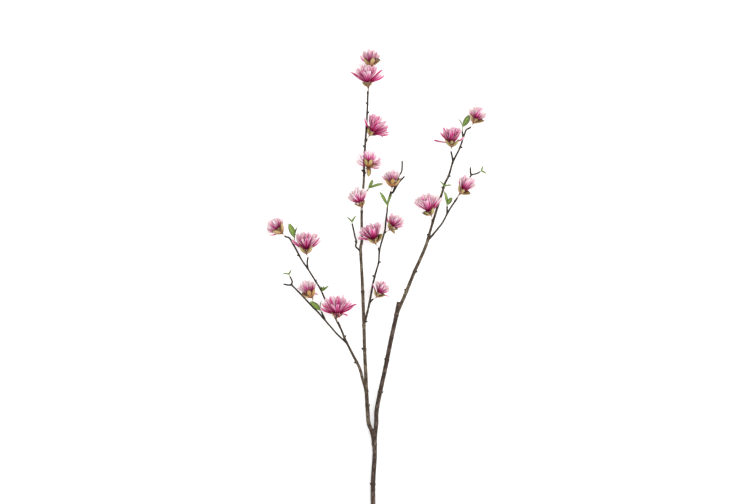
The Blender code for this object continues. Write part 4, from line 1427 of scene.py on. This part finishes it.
def lay_tube(shape: Mesh, route: Route, sides: int, skin: Callable[[Station, float], float],
             round_end: bool = False) -> None:
    """Adds a closed tube along a route to a mesh.

    Args:
        shape: the mesh.
        route: the tube's centre line.
        sides: faces round it.
        skin: gives the radius at a station and a turn.
        round_end: whether the far end is rounded off, over a stretch as long as its radius.
    """
    girths = shape.verts.layers.float[GIRTH]
    uvs = shape.loops.layers.uv.active
    rings = len(route.stations) + 1
    made = bmesh.ops.create_grid(shape, x_segments=sides, y_segments=rings, size=0.5, calc_uvs=True)
    faces = {face for vert in made["verts"] for face in vert.link_faces}
    for vert in made["verts"]:
        turn = (vert.co.x + 0.5) * 2 * math.pi
        i = round((vert.co.y + 0.5) * rings) - 1
        station = route.stations[min(max(i, 0), len(route.stations) - 1)]
        closed = i in (-1, len(route.stations))
        reach = 0.0 if closed else skin(station, turn)
        if round_end and not closed:
            left = (route.length - station.distance) / station.radius
            reach *= math.sqrt(max(LEAST_END, 1 - max(0.0, 1 - left) ** 2))
        vert.co = station.rim(turn, reach)
        vert[girths] = station.radius / MM
    for face in faces:
        for loop in face.loops:
            i = min(max(round(loop[uvs].uv.y * rings) - 1, 0), len(route.stations) - 1)
            loop[uvs].uv.y = route.stations[i].distance / MM
    bmesh.ops.remove_doubles(shape, verts=made["verts"], dist=WELD)


def stretch_uvs(shape: Mesh, by: float) -> None:
    """Stretches the UV map of a whole mesh along its pieces.

    Args:
        shape: the mesh.
        by: how many times longer it gets.
    """
    uvs = shape.loops.layers.uv.active
    for face in shape.faces:
        for loop in face.loops:
            loop[uvs].uv.y *= by


def keep_above_surface(shape: Mesh) -> None:
    """Lifts whatever of a mesh is below the surface onto it."""
    for vert in shape.verts:
        vert.co.z = max(vert.co.z, 0.0)


@dataclass(frozen=True)
class Bud:
    """A pointed bud: a ball drawn out to a tip. length is that of one half."""

    radius: float
    length: float
    taper: float  # of its upper half
    foot: float  # share of the lower half that is above its foot
    keel: float = 0.0
    flat: float = 1.0
    sides: tuple[int, int] = (12, 9)

    def lay(self, shape: Mesh, foot: Vector, way: Vector, size: float = 1.0) -> None:
        """Adds the bud to a mesh.

        Args:
            shape: the mesh.
            foot: where it sits.
            way: which way it points.
            size: as a share of the usual.
        """
        around, up = self.sides
        turned = way.to_track_quat("Z", "Y").to_matrix()
        made = bmesh.ops.create_uvsphere(shape, u_segments=around, v_segments=up, radius=1.0, calc_uvs=True)
        for vert in made["verts"]:
            x, y, z = vert.co
            slim = (1 - self.taper * max(0.0, z)) * self.radius * size
            slim *= 1 + self.keel * math.cos(3 * math.atan2(y, x)) * (1 - abs(z))
            height = (z + self.foot) * self.length * size
            vert.co = foot + turned @ Vector((x * slim, y * slim * self.flat, height))


@dataclass
class Wood:
    """The forked woody stem with its twigs, stalks, buds and cut ends."""

    routes: dict[str, Route]
    palette: Palette
    base: str = "right_leader"  # the stem that the others grow from, cut at both ends
    least_sides: int = 12
    most_sides: int = 22
    sides_per_mm: float = 5.0
    growth: tuple[Pair, ...] = (
        (0.6 * MM, 1.5 * MM), (1.0 * MM, 1.0 * MM), (2.0 * MM, 0.3 * MM), (2.7 * MM, 0.5 * MM),
        (3.3 * MM, 0.95 * MM), (4.7 * MM, 0.85 * MM), (5.3 * MM, 0.45 * MM),
    )  # added to a stem's radius for its bark, by that radius
    ridge: float = 0.055  # height of the bark's ridges, as a share of the radius
    ridges: Pair = (1.9, 9.0 * MM)  # how close they are round a stem, and their length
    bumps: Pair = (1.2, 2.6 * MM)  # the same for the small bumps between them
    bump: float = 0.5  # height of a bump, as a share of a ridge's
    fork_reach: float = 1.5  # radii from a stem's middle within which another grows from it
    knuckle: float = 0.16  # swelling at a bud or a fork, as a share of the radius
    knuckle_length: float = 3.2 * MM
    most_knuckles: float = 1.3  # of swellings that meet
    collar: float = 0.4  # flare where a stem leaves another, as a share of the radius
    collar_length: float = 5.0 * MM
    bud: Bud = Bud(2.2 * MM, 3.5 * MM, 0.32, 0.6, keel=0.1)
    bud_sizes: Pair = (0.8, 1.15)
    bud_stem: float = 2.0 * MM  # radius of the thinnest stem whose buds have their full size
    bud_lean: float = 0.9  # how much a bud points along its stem, as a share of away from it
    bud_seat: float = 0.9  # radii from the middle of the stem
    bud_girth: float = 1.1  # radius in millimetres of the twig that a bud is coloured like
    tip_bud_sink: float = 1.2 * MM
    tip_bud_size: float = 0.95
    cut_sides: int = 32
    cut_steps: tuple[float, ...] = (0.096, 0.2, 0.36, 0.24)  # from its rim in, as shares of its radius
    cut_lift: float = 0.35 * MM  # of the middle of a cut above the end of the stem
    cut_drop: float = 0.4 * MM  # of its rim below its middle
    cut_round: int = 6  # the higher, the flatter the cut is inside its rim
    cut_width: float = 0.99  # as a share of the stem's

    def knots(self, name: str) -> list[Station]:
        """The stations of a stem that a bud or another stem grows from.

        Args:
            name: the stem's name.

        Returns:
            The stations.
        """
        route = self.routes[name]
        found = [route.nearest(height * MM - ORIGIN.y) for stem, height, _, _ in BUDS if stem == name]
        for other, child in self.routes.items():
            start = child.stations[0].place
            near = min(route.stations, key=lambda station: (station.place - start).length)
            close = (near.place - start).length < near.radius * self.fork_reach
            if other != name and close and near.distance > 0:
                found.append(near)
        return found

    def bark(self, radius: float) -> float:
        """How thick the bark is on a stem of some radius.

        Args:
            radius: the stem's, without its bark.

        Returns:
            The thickness.
        """
        for (thin, least), (thick, most) in zip(self.growth, self.growth[1:]):
            if radius < thick:
                return least + (most - least) * max(0.0, radius - thin) / (thick - thin)
        return self.growth[-1][1]

    def skin(self, name: str) -> Callable[[Station, float], float]:
        """The radius of a stem's bark, as a function of the station and the turn.

        Args:
            name: the stem's name.

        Returns:
            The function.
        """
        knots = [station.distance for station in self.knots(name)]
        thick = self.routes[name].stations[0].radius
        seed = float(len(name) + ord(name[0]))
        flare = 0.0 if name == self.base else self.collar

        def roughness(station: Station, turn: float, close: float, length: float) -> float:
            """Noise round and along the stem, from about -1 to 1."""
            along = station.distance / length + seed
            return noise.noise(Vector((math.cos(turn) * close, math.sin(turn) * close, along)))

        def radius(station: Station, turn: float) -> float:
            """The radius of the bark.

            Args:
                station: the place along the stem.
                turn: the place round it, in radians.

            Returns:
                The radius.
            """
            ridges = roughness(station, turn, *self.ridges)
            bumps = roughness(station, turn, *self.bumps)
            swell = sum(math.exp(-((station.distance - knot) / self.knuckle_length) ** 2) for knot in knots)
            out = 1 + self.ridge * (ridges + self.bump * bumps)
            out += self.knuckle * min(swell, self.most_knuckles)
            out += flare * math.exp(-max(0.0, station.distance - thick) / self.collar_length)
            return (station.radius + self.bark(station.radius)) * out

        return radius

    def build_stems(self) -> None:
        """The bark of every stem, as one piece."""
        shape = new_shape()
        for name, route in self.routes.items():
            sides = route.stations[0].radius / MM * self.sides_per_mm
            sides = round(min(self.most_sides, max(self.least_sides, sides)))
            lay_tube(shape, route, sides, self.skin(name), round_end=name != self.base)
        keep_above_surface(shape)
        place_piece("stems", shape, self.palette.bark, "branch")

    def build_buds(self) -> None:
        """Every bud and leaf scar, as one piece."""
        shape = new_shape()
        dice = random.Random(BUD_SEED)
        for name, height, side, lift in BUDS:
            station = self.routes[name].nearest(height * MM - ORIGIN.y)
            out = Vector((side, 0.0, lift))
            out = (out - out.dot(station.along) * station.along).normalized()
            way = (out + self.bud_lean * station.along).normalized()
            size = dice.uniform(*self.bud_sizes) * math.sqrt(min(1.0, station.radius / self.bud_stem))
            self.bud.lay(shape, station.place + out * station.radius * self.bud_seat, way, size)
        for name in BUD_TIPPED:
            end = self.routes[name].stations[-1]
            self.bud.lay(shape, end.place - end.along * self.tip_bud_sink, end.along, self.tip_bud_size)
        stretch_uvs(shape, 2 * self.bud.length / MM)
        for vert in shape.verts:
            vert[shape.verts.layers.float[GIRTH]] = self.bud_girth
        place_piece("buds", shape, self.palette.bark, "branch")

    def build_cuts(self) -> None:
        """The plain cut at the foot and the pruned stub at the top of the thick stem."""
        shape = new_shape()
        uvs = shape.loops.layers.uv.active
        route = self.routes[self.base]
        for station, side in ((route.stations[0], -1), (route.stations[-1], 1)):
            known = set(shape.verts)
            made = bmesh.ops.create_circle(shape, cap_ends=True, segments=self.cut_sides, radius=1.0)
            face = next(iter(made["verts"][0].link_faces))
            for depth in self.cut_steps:
                bmesh.ops.inset_individual(shape, faces=[face], thickness=depth)
            way = station.along * side
            turned = way.to_track_quat("Z", "Y").to_matrix()
            for vert in set(shape.verts) - known:
                spread = vert.co.length
                lift = self.cut_lift - self.cut_drop * spread**self.cut_round
                local = Vector((vert.co.x, vert.co.y, 0.0)) * station.radius * self.cut_width
                turn = math.atan2(vert.co.y, vert.co.x)
                for loop in vert.link_loops:
                    loop[uvs].uv = (turn / (2 * math.pi) + 0.5, 1 - min(1.0, spread))
                vert.co = station.place + turned @ local + way * lift
        keep_above_surface(shape)
        place_piece("cut_ends", shape, self.palette.cut_wood, "branch")

    def build(self) -> None:
        """Builds all the wood."""
        self.build_stems()
        self.build_buds()
        self.build_cuts()


@dataclass(frozen=True)
class Variety:
    """How petals of one kind differ: a turn in degrees, shares of the usual, and a lift in millimetres."""

    turn: Pair
    opening: Pair
    length: Pair
    width: Pair
    lift: Pair | None = None


@dataclass(frozen=True)
class Stance:
    """How a petal stands: its root's height above the cup, its turn, its two angles and its size.

    turn goes round the axis, and first and last are the angles from it at the foot and the tip, all
    in degrees.
    """

    height: float
    turn: float
    first: float
    last: float
    length: float
    width: float


# Petals that stand where the solid's do, and those between them
MAIN = Variety((-7, 7), (0.86, 1.1), (0.94, 1.06), (0.9, 1.08))
BETWEEN = Variety((-12, 12), (0.72, 1.04), (0.86, 1.03), (0.8, 1.1), (0.4, 1.6))


@dataclass
class Bloom:
    """One flower: its petals, its middle, its bud scales and its neck."""

    name: str
    plan: Flower
    routes: dict[str, Route]
    finder: StemFinder
    palette: Palette
    narrow: float = 0.54  # width of a petal here, as a share of the solid's fewer petals
    bulge: Pair = (1.05, 1.45)  # angle at a petal's foot, as a share of its mean angle
    close: Pair = (0.94, 0.60)  # angle at its tip, both for a star and for a ball
    upright: float = 0.53  # opening of a petal that faces up, as a share of one at the side
    widest_foot: float = 90.0  # degrees from the axis
    single_width: float = 0.8  # width of a petal that stands by itself, as a share of the others'
    stray_width: float = 0.85  # width of a stray, as a share of that
    rolled_cup: float = 0.45
    tint_range: float = 0.3  # to either side of the flower's own
    dull: float = 0.65  # how much darker a stray petal is
    held: float = 38.0  # widest mean angle of a petal that a scale holds
    held_foot: float = 33.0  # widest angle at that petal's foot
    shaded: float = 0.28  # how much darker a petal is at the front of its flower
    petal_wall: float = 0.32 * MM
    petal_grid: tuple[int, int] = (8, 15)
    scale_wall: float = 0.8 * MM
    scale_grid: tuple[int, int] = (12, 18)
    scale_droop: float = 0.9  # a wide scale's angle at its foot, as a share of the one at its tip
    turned_down: Pair = (20.0, 65.0)  # added to both angles of one that is turned down
    scale_green: float = 0.9  # tint of an unripe scale
    scale_ripening: float = 0.85  # how much a ripe one loses
    scale_aside: float = 0.3  # how much one at the flower's side gains
    stamen_seat: float = 0.8  # share of the middle's foot
    neck_sides: int = 16
    neck_ribs: float = 0.05  # as a share of the radius
    neck_sink: float = 0.8 * MM  # of its start in the twig
    neck_rise: float = 2 * MM  # from its start to the place above it
    neck_slim: Pair = (0.85, 0.95)  # of its radius, at its start and that place
    cup_shape: tuple[Pair, ...] = ((0.25, 0.5), (0.55, 0.85), (1.0, 1.0))  # shares of its height and radius

    def __post_init__(self) -> None:
        """Works out the flower's directions."""
        self.axis = Vector(self.plan.axis).normalized()
        self.facing = (UP - UP.dot(self.axis) * self.axis).normalized()
        self.right = self.axis.cross(self.facing)
        self.foot = at(self.plan.foot)
        self.seat = self.foot + self.axis * (CUP_HEIGHT + SEAT_GAP)
        self.length = self.plan.tepal * MM
        self.width = self.length * PETAL_WIDTH_SHARE * self.narrow
        self.dice = random.Random(SHAPE_SEED + int(self.name))
        self.hues = random.Random(HUE_SEED + int(self.name))

    def outward(self, turn: float) -> Vector:
        """The direction away from the axis at a turn in degrees."""
        return self.facing * math.cos(math.radians(turn)) + self.right * math.sin(math.radians(turn))

    def petal(self, stance: Stance, character: dict[str, float]) -> Blade:
        """One petal, rooted in the flower's middle.

        Args:
            stance: how it stands.
            character: how it differs from the next.

        Returns:
            The petal.
        """
        turned = math.radians(stance.turn)
        outward = self.outward(stance.turn)
        root = self.seat + self.axis * stance.height + outward * PETAL_ROOT_OUT
        twist = PETAL_TWIST * math.sin(turned) + character["turned"]
        varied = {key: value for key, value in character.items() if key != "turned"}
        varied["tint"] -= self.shaded * max(0.0, math.cos(turned))
        return Blade(root, self.axis, outward, stance.length, stance.first, stance.last,
                     petal_spread(stance.width), blunt=PETAL_BLUNTNESS, twist=twist, **varied)

    def has_room(self, blade: Blade, bed_gap: float) -> bool:
        """Whether a blade stays above the surface and clear of every stem."""
        return all(place.z > bed_gap and self.finder.clearance(place) > STEM_GAP for place in blade.samples())

    def fitted_petal(self, stance: Stance, character: dict[str, float], bed_gap: float) -> Blade | None:
        """A petal that is turned aside or closed up until it has room.

        Args:
            stance: how it stands if it has room there.
            character: how it differs from the next.
            bed_gap: the room that it keeps to the surface.

        Returns:
            The petal, or None where it has no room.
        """
        for closing in CLOSINGS:
            first, last = stance.first * closing, stance.last * closing
            for aside in TURNS:
                blade = self.petal(replace(stance, turn=stance.turn + aside, first=first, last=last),
                                   character)
                if self.has_room(blade, bed_gap):
                    return blade
        return None

    def leaning_petal(self, width: float, character: dict[str, float]) -> Blade:
        """The lowest petal, opened until it touches the surface.

        Args:
            width: its widest width.
            character: how it differs from the next.

        Returns:
            The petal.
        """
        low, high = LEANING_RANGE
        for _ in range(LEANING_TRIES):
            middle = (low + high) / 2
            stance = Stance(WHORL_HEIGHT[0], 180, LEANING_FOOT, middle, self.length, width)
            blade = self.petal(stance, character)
            if min(place.z for place in blade.samples()) > self.petal_wall:
                low = middle
            else:
                high = middle
        return blade

    def character(self, rolled: bool = False) -> dict[str, float]:
        """How one petal differs from the next.

        Args:
            rolled: whether its edges roll in, as on the thin petals that stray from the flower.

        Returns:
            The blade's fields that vary.
        """
        dice = self.dice
        tint = self.plan.pale + self.hues.uniform(-self.tint_range, self.tint_range)
        return {
            "cup": self.rolled_cup if rolled else dice.uniform(0.05, 0.24),
            "curl": dice.uniform(-38, 10),
            "sway": dice.uniform(-0.22, 0.22),
            "folds": dice.uniform(1.2, 2.4),
            "fold_height": dice.uniform(0.25, 0.7) * MM,
            "flutter": dice.uniform(0.3, 1.2) * MM,
            "fray": dice.uniform(0.02, 0.11),
            "turned": dice.uniform(-14, 14),
            "seed": dice.uniform(*SEEDS),
            "tint": tint - self.dull if rolled else tint,
        }

    def reach(self, turn: float) -> float:
        """The length of a petal at a turn, as a share of the plan's."""
        front, side = self.plan.peak, self.plan.size.side
        return front + (side - front) * math.sin(math.radians(turn)) ** 2

    def angles(self, ring: int, turn: float, opening: float) -> Pair:
        """The angles from the axis at a petal's foot and tip.

        Args:
            ring: its whorl, from the outside in.
            turn: where it stands round the axis, in degrees.
            opening: the flower's opening for this petal, in degrees.

        Returns:
            The two angles in degrees.
        """
        side = math.sin(math.radians(turn)) ** 2
        mean = opening * self.plan.wide * WHORL_MEAN[ring]
        mean *= self.upright + (1 - self.upright) * side
        widest = self.widest_foot
        for scale_turn, last, _ in self.plan.scales:
            apart = abs((turn - scale_turn + 180) % 360 - 180)
            if apart < HOLDS and last < FOLDED_BACK:
                mean = min(mean, self.held * WHORL_MEAN[ring])
                widest = self.held_foot
        first, last = (star + (ball - star) * self.plan.round for star, ball in (self.bulge, self.close))
        return min(widest, mean * first), mean * last

    def stance(self, ring: int, turn: float, variety: Variety, dice: random.Random) -> Stance:
        """How a petal of a whorl stands.

        Args:
            ring: its whorl, from the outside in.
            turn: where petals of its place stand round the axis, in degrees.
            variety: how much it may differ from them.
            dice: what decides how much it does.

        Returns:
            The petal's stance.
        """
        turn += dice.uniform(*variety.turn)
        opening = self.plan.opening * dice.uniform(*variety.opening)
        length = self.length * WHORL_LENGTH[ring] * dice.uniform(*variety.length) * self.reach(turn)
        width = self.width * dice.uniform(*variety.width)
        height = WHORL_HEIGHT[ring]
        if variety.lift:
            height += dice.uniform(*variety.lift) * MM
        return Stance(height, turn, *self.angles(ring, turn, opening), length, width)

    def petals(self) -> list[Blade]:
        """The flower's petals: those that stand where the solid's do, then those between them.

        Returns:
            The petals, with those that stand by themselves last.
        """
        solid_dice = random.Random(int(self.name))
        start = solid_dice.uniform(0, 360)
        found = []
        for ring, (main, between) in enumerate(zip(self.plan.size.main, self.plan.size.between)):
            between = round(between * self.plan.full)
            kinds = (
                (main, ring * 0.5, MAIN, solid_dice),
                (between, 0.5 - ring * 0.3, BETWEEN, self.dice),
            )
            for count, shift, variety, dice in kinds:
                for i in range(count):
                    stance = self.stance(ring, start + (i + shift) * 360 / count, variety, dice)
                    gap = BED_GAP + ring * WHORL_BED_GAP
                    found.append(self.fitted_petal(stance, self.character(), gap))
        width = self.width * self.single_width
        for turn, first, last, share in self.plan.strays:
            stance = Stance(WHORL_HEIGHT[1], turn, first, last, self.length * share,
                            width * self.stray_width)
            found.append(self.fitted_petal(stance, self.character(rolled=True), BED_GAP))
        for turn, first, last, share, sway in self.plan.swept:
            stance = Stance(WHORL_HEIGHT[0], turn, first, last, self.length * share, width)
            found.append(self.petal(stance, {**self.character(), "sway": sway, "curl": 0.0}))
        if self.name in LEANING:
            found.append(self.leaning_petal(width, self.character()))
        return [blade for blade in found if blade]

    def build_corolla(self) -> None:
        """The petals, as one piece."""
        shape = new_shape()
        for blade in self.petals():
            blade.lay(shape, *self.petal_grid)
        place_piece(f"petals_{self.name}", shape, self.palette.petal, f"corolla_{self.name}",
                    self.petal_wall)

    def lay_spike(self, shape: Mesh, foot: Vector, tip: Vector, thick: float, thin: float) -> None:
        """Adds a small tapering spike to a mesh, coloured along its length.

        Args:
            shape: the mesh.
            foot: the middle of its foot.
            tip: the middle of its tip.
            thick: its radius at the foot.
            thin: its radius at the tip.
        """
        uvs = shape.loops.layers.uv.active
        along = tip - foot
        placed = along.to_track_quat("Z", "Y").to_matrix().to_4x4()
        placed.translation = (foot + tip) / 2
        made = bmesh.ops.create_cone(shape, cap_ends=True, segments=6, radius1=thick, radius2=thin,
                                     depth=along.length, matrix=placed)
        for vert in made["verts"]:
            share = (vert.co - foot).dot(along) / along.length_squared
            for loop in vert.link_loops:
                loop[uvs].uv = (0.5, share)

    def build_pistil(self) -> None:
        """The green cone of the flower's middle, with a spiral of short spikes."""
        shape = new_shape()
        self.lay_spike(shape, self.seat, self.seat + self.axis * HEART_HEIGHT, HEART_FOOT, HEART_TOP)
        for i in range(CARPELS):
            share = i / CARPELS
            outward = self.outward(i * GOLDEN_TURN)
            radius = HEART_FOOT + (HEART_TOP - HEART_FOOT) * share
            height = HEART_HEIGHT * (CARPEL_FROM + (1 - CARPEL_FROM) * share)
            low = self.seat + self.axis * height + outward * radius * CARPEL_SEAT
            high = low + outward * CARPEL_REACH[0] + self.axis * CARPEL_REACH[1]
            self.lay_spike(shape, low, high, *CARPEL_RADII)
        place_piece(f"pistil_{self.name}", shape, self.palette.pistil, f"corolla_{self.name}")

    def build_stamens(self) -> None:
        """The ring of stamens round the foot of the flower's middle."""
        shape = new_shape()
        for i in range(STAMENS):
            outward = self.outward(i * GOLDEN_TURN)
            height = STAMEN_FROM + STAMEN_RISE * i / STAMENS
            low = self.seat + self.axis * height + outward * HEART_FOOT * self.stamen_seat
            way = outward * self.dice.uniform(*STAMEN_LEAN) + self.axis
            self.lay_spike(shape, low, low + way * self.dice.uniform(*STAMEN_LENGTH) * MM, *STAMEN_RADII)
        place_piece(f"stamens_{self.name}", shape, self.palette.stamen,
                    f"corolla_{self.name}")

    def scale(self, planned: float, last: float, share: float) -> Blade:
        """One bud scale.

        Args:
            planned: its turn round the axis in the plan, in degrees.
            last: the angle from the axis that it ends at in the plan.
            share: its size as a share of the usual.

        Returns:
            The scale, wrapped further round the flower the nearer it is to its side.
        """
        turn = planned - SCALE_SHIFT * math.sin(math.radians(planned))
        outward = self.outward(turn)
        seat = self.foot + self.axis * (CUP_HEIGHT - SCALE_SINK) + outward * SCALE_ROOT_OUT
        side = math.sin(math.radians(turn)) ** 2
        width, start, cup, close = (
            up + (aside - up) * side for up, aside in (SCALE_WIDTH, SCALE_START, SCALE_CUP, SCALE_CLOSE)
        )
        first, tip = max(start, last * self.scale_droop), last - close
        if last > FOLDED_BACK:
            width, cup, tip = width * NARROW_SCALE, FOLDED_CUP, last
        if last > TURNED_DOWN:
            first, tip = (last + more for more in self.turned_down)
        spread = pointed_spread(width * share, SCALE_FOOT_WIDTH, SCALE_WIDEST, SCALE_ROUND)
        tint = self.scale_green - self.scale_ripening * self.plan.ripe + self.scale_aside * side
        return Blade(seat, self.axis, outward, SCALE_LENGTH * share, first, tip, spread, cup,
                     twist=SCALE_TWIST * math.sin(math.radians(turn)),
                     curl=self.dice.uniform(-8, 18), sway=self.dice.uniform(-0.08, 0.08),
                     fold_height=0.25 * MM, folds=1.5, flutter=0.5 * MM, crease=0.06,
                     seed=self.dice.uniform(*SEEDS), tint=tint + self.hues.uniform(-0.15, 0.1))

    def build_scales(self) -> None:
        """The bud scales that hold the flower from below, as one piece."""
        shape = new_shape()
        for planned, last, share in self.plan.scales:
            self.scale(planned, last, share).lay(shape, *self.scale_grid)
        place_piece(f"scales_{self.name}", shape, self.palette.scale, f"calyx_{self.name}",
                    self.scale_wall)

    def build_neck(self) -> None:
        """The pale neck between the twig and the flower, which widens into the cup."""
        twig = self.routes[self.plan.twig].stations[-1]
        start = twig.place - twig.along * self.neck_sink
        lowest, second = self.neck_slim
        points = [
            (start, NECK_RADIUS * lowest),
            (start + twig.along * self.neck_rise, NECK_RADIUS * second),
            (self.foot, NECK_RADIUS),
        ]
        for height, radius in self.cup_shape:
            points.append((self.foot + self.axis * CUP_HEIGHT * height, CUP_RADIUS * radius))
        route = Route(points, NECK_STEP)
        shape = new_shape()
        lay_tube(shape, route, self.neck_sides,
                 lambda station, turn: station.radius * (1 + self.neck_ribs * math.sin(turn * 3)))
        stretch_uvs(shape, MM / route.length)
        place_piece(f"neck_{self.name}", shape, self.palette.neck, f"calyx_{self.name}")

    def build(self) -> None:
        """Builds the whole flower."""
        self.build_corolla()
        self.build_pistil()
        self.build_stamens()
        self.build_scales()
        self.build_neck()


@dataclass
class LeafyShoot:
    """One green shoot: its stalk and its young leaves."""

    name: str
    plan: Shoot
    palette: Palette
    stalk_radius: float = 1.3 * MM
    stalk_taper: Triple = (1.15, 0.95, 0.85)  # of that radius: in the twig, at its foot and at its top
    stalk_sides: int = 12
    stalk_sink: float = 1.4 * MM  # of its foot in the twig
    stalk_step: float = 0.8 * MM
    bud: Bud = Bud(1.75 * MM, 2.4 * MM, 0.45, 0.3, flat=0.8, sides=(10, 8))
    leaf_wall: float = 0.45 * MM
    leaf_grid: tuple[int, int] = (12, 22)
    leaf_round: float = 2.2  # above 1, a leaf's sides stay round before its point
    leaf_waves: float = 0.07  # height of the waves of its edges, as a share of its width

    def __post_init__(self) -> None:
        """Works out where the shoot stands and how its leaves differ."""
        self.node = f"leaf_shoot_{self.name}"
        self.dice = random.Random(SHOOT_SEED + ord(self.name))
        self.foot, self.top = (at(end) for end in self.plan.stalk)
        self.way = (self.top - self.foot).normalized()

    def build_stalk(self) -> None:
        """The green stalk with the small bud at its top, as one piece."""
        shape = new_shape()
        places = (self.foot - self.way * self.stalk_sink, self.foot, self.top)
        radii = (self.stalk_radius * taper for taper in self.stalk_taper)
        route = Route(list(zip(places, radii)), self.stalk_step)
        lay_tube(shape, route, self.stalk_sides, lambda station, turn: station.radius, round_end=True)
        stretch_uvs(shape, MM / route.length)
        self.bud.lay(shape, self.top, self.way)
        place_piece(f"stalk_{self.name}", shape, self.palette.stalk, self.node)

    def leaf_blade(self, foot: Vector, leaf: Leaf) -> Blade:
        """A leaf from its foot on the shoot to its tip.

        Args:
            foot: where it is rooted.
            leaf: its plan.

        Returns:
            The leaf.
        """
        way = at(leaf.tip) - foot
        level = way.cross(UP).normalized()
        facing = level.cross(way).normalized()
        roll = math.radians(leaf.roll)
        turned = facing * math.cos(roll) + level * math.sin(roll)
        folded = leaf.width < FOLDED_LEAF
        spread = pointed_spread(leaf.width * MM * LEAF_FILL, LEAF_FOOT_WIDTH[folded], LEAF_WIDEST[folded],
                                self.leaf_round)
        return Blade(foot, way, -turned, way.length, -LEAF_ARCH / 2, LEAF_ARCH / 2, spread, LEAF_CUP,
                     curl=self.dice.uniform(4, 14), sway=self.dice.uniform(-0.1, 0.1), crease=0.16,
                     flutter=self.leaf_waves * leaf.width * MM, seed=self.dice.uniform(*SEEDS),
                     tint=self.dice.random())

    def build_leaves(self) -> None:
        """The leaves, as one piece."""
        shape = new_shape()
        root = self.top - self.way * LEAF_SINK
        for leaf in self.plan.leaves:
            self.leaf_blade(root, leaf).lay(shape, *self.leaf_grid)
        place_piece(f"leaves_{self.name}", shape, self.palette.leaf, self.node,
                    self.leaf_wall)

    def build(self) -> None:
        """Builds the stalk and the leaves."""
        self.build_stalk()
        self.build_leaves()


@dataclass
class Studio:
    """The pale floor, the soft lights and the camera above the branch."""

    lens: float = 85.0
    above: Triple = (0.0025, 0.094, 4.487)
    sees_to: float = 50.0
    floor_size: float = 12.0
    dome_colour: Triple = (1.0, 1.0, 1.0)
    dome_strength: float = 1.12
    light_place: Triple = (2.7, 1.0, 2.7)
    light_size: float = 4.0
    light_power: float = 100.0

    def build_floor(self) -> None:
        """The surface that the branch lies on."""
        shape = bmesh.new()
        bmesh.ops.create_grid(shape, x_segments=2, y_segments=2, size=self.floor_size / 2)
        mesh = bpy.data.meshes.new("floor")
        shape.to_mesh(mesh)
        shape.free()
        mesh.materials.append(FloorFinish().build())
        floor = bpy.data.objects.new("floor", mesh)
        bpy.context.scene.collection.objects.link(floor)

    def build_lights(self) -> None:
        """An even pale dome and a wide main light from the upper right."""
        world = bpy.data.worlds.new("dome")
        bpy.context.scene.world = world
        world.use_nodes = True
        background = world.node_tree.nodes["Background"]
        background.inputs["Color"].default_value = (*self.dome_colour, 1.0)
        background.inputs["Strength"].default_value = self.dome_strength
        lamp = bpy.data.lights.new("main_light", "AREA")
        lamp.energy = self.light_power
        lamp.size = self.light_size
        holder = bpy.data.objects.new("main_light", lamp)
        holder.location = self.light_place
        holder.rotation_euler = (-Vector(self.light_place)).to_track_quat("-Z", "Y").to_euler()
        bpy.context.scene.collection.objects.link(holder)

    def build_camera(self) -> None:
        """The camera, which looks straight down."""
        lens = bpy.data.cameras.new("camera")
        lens.lens = self.lens
        lens.clip_end = self.sees_to
        camera = bpy.data.objects.new("camera", lens)
        camera.location = self.above
        camera.rotation_euler = Euler((0.0, 0.0, 0.0))
        bpy.context.scene.collection.objects.link(camera)
        bpy.context.scene.camera = camera

    def build(self) -> None:
        """Builds the studio."""
        self.build_floor()
        self.build_lights()
        self.build_camera()
        bpy.context.scene.view_settings.view_transform = "Standard"


def main() -> None:
    """Builds the branch's pieces in order, and notes how many faces each piece has."""
    logging.basicConfig(level=logging.INFO, format="%(name)s: %(message)s")
    palette = Palette.mix()
    routes = {
        name: Route([(at(point), point[3] * MM) for point in points], STEM_STEP)
        for name, points in STEMS.items()
    }
    finder = StemFinder(routes)
    Wood(routes, palette).build()
    for name, plan in FLOWERS.items():
        Bloom(name, plan, routes, finder, palette).build()
    for name, plan in SHOOTS.items():
        LeafyShoot(name, plan, palette).build()
    Studio().build()
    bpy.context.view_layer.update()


if __name__ == "__main__":
    main()
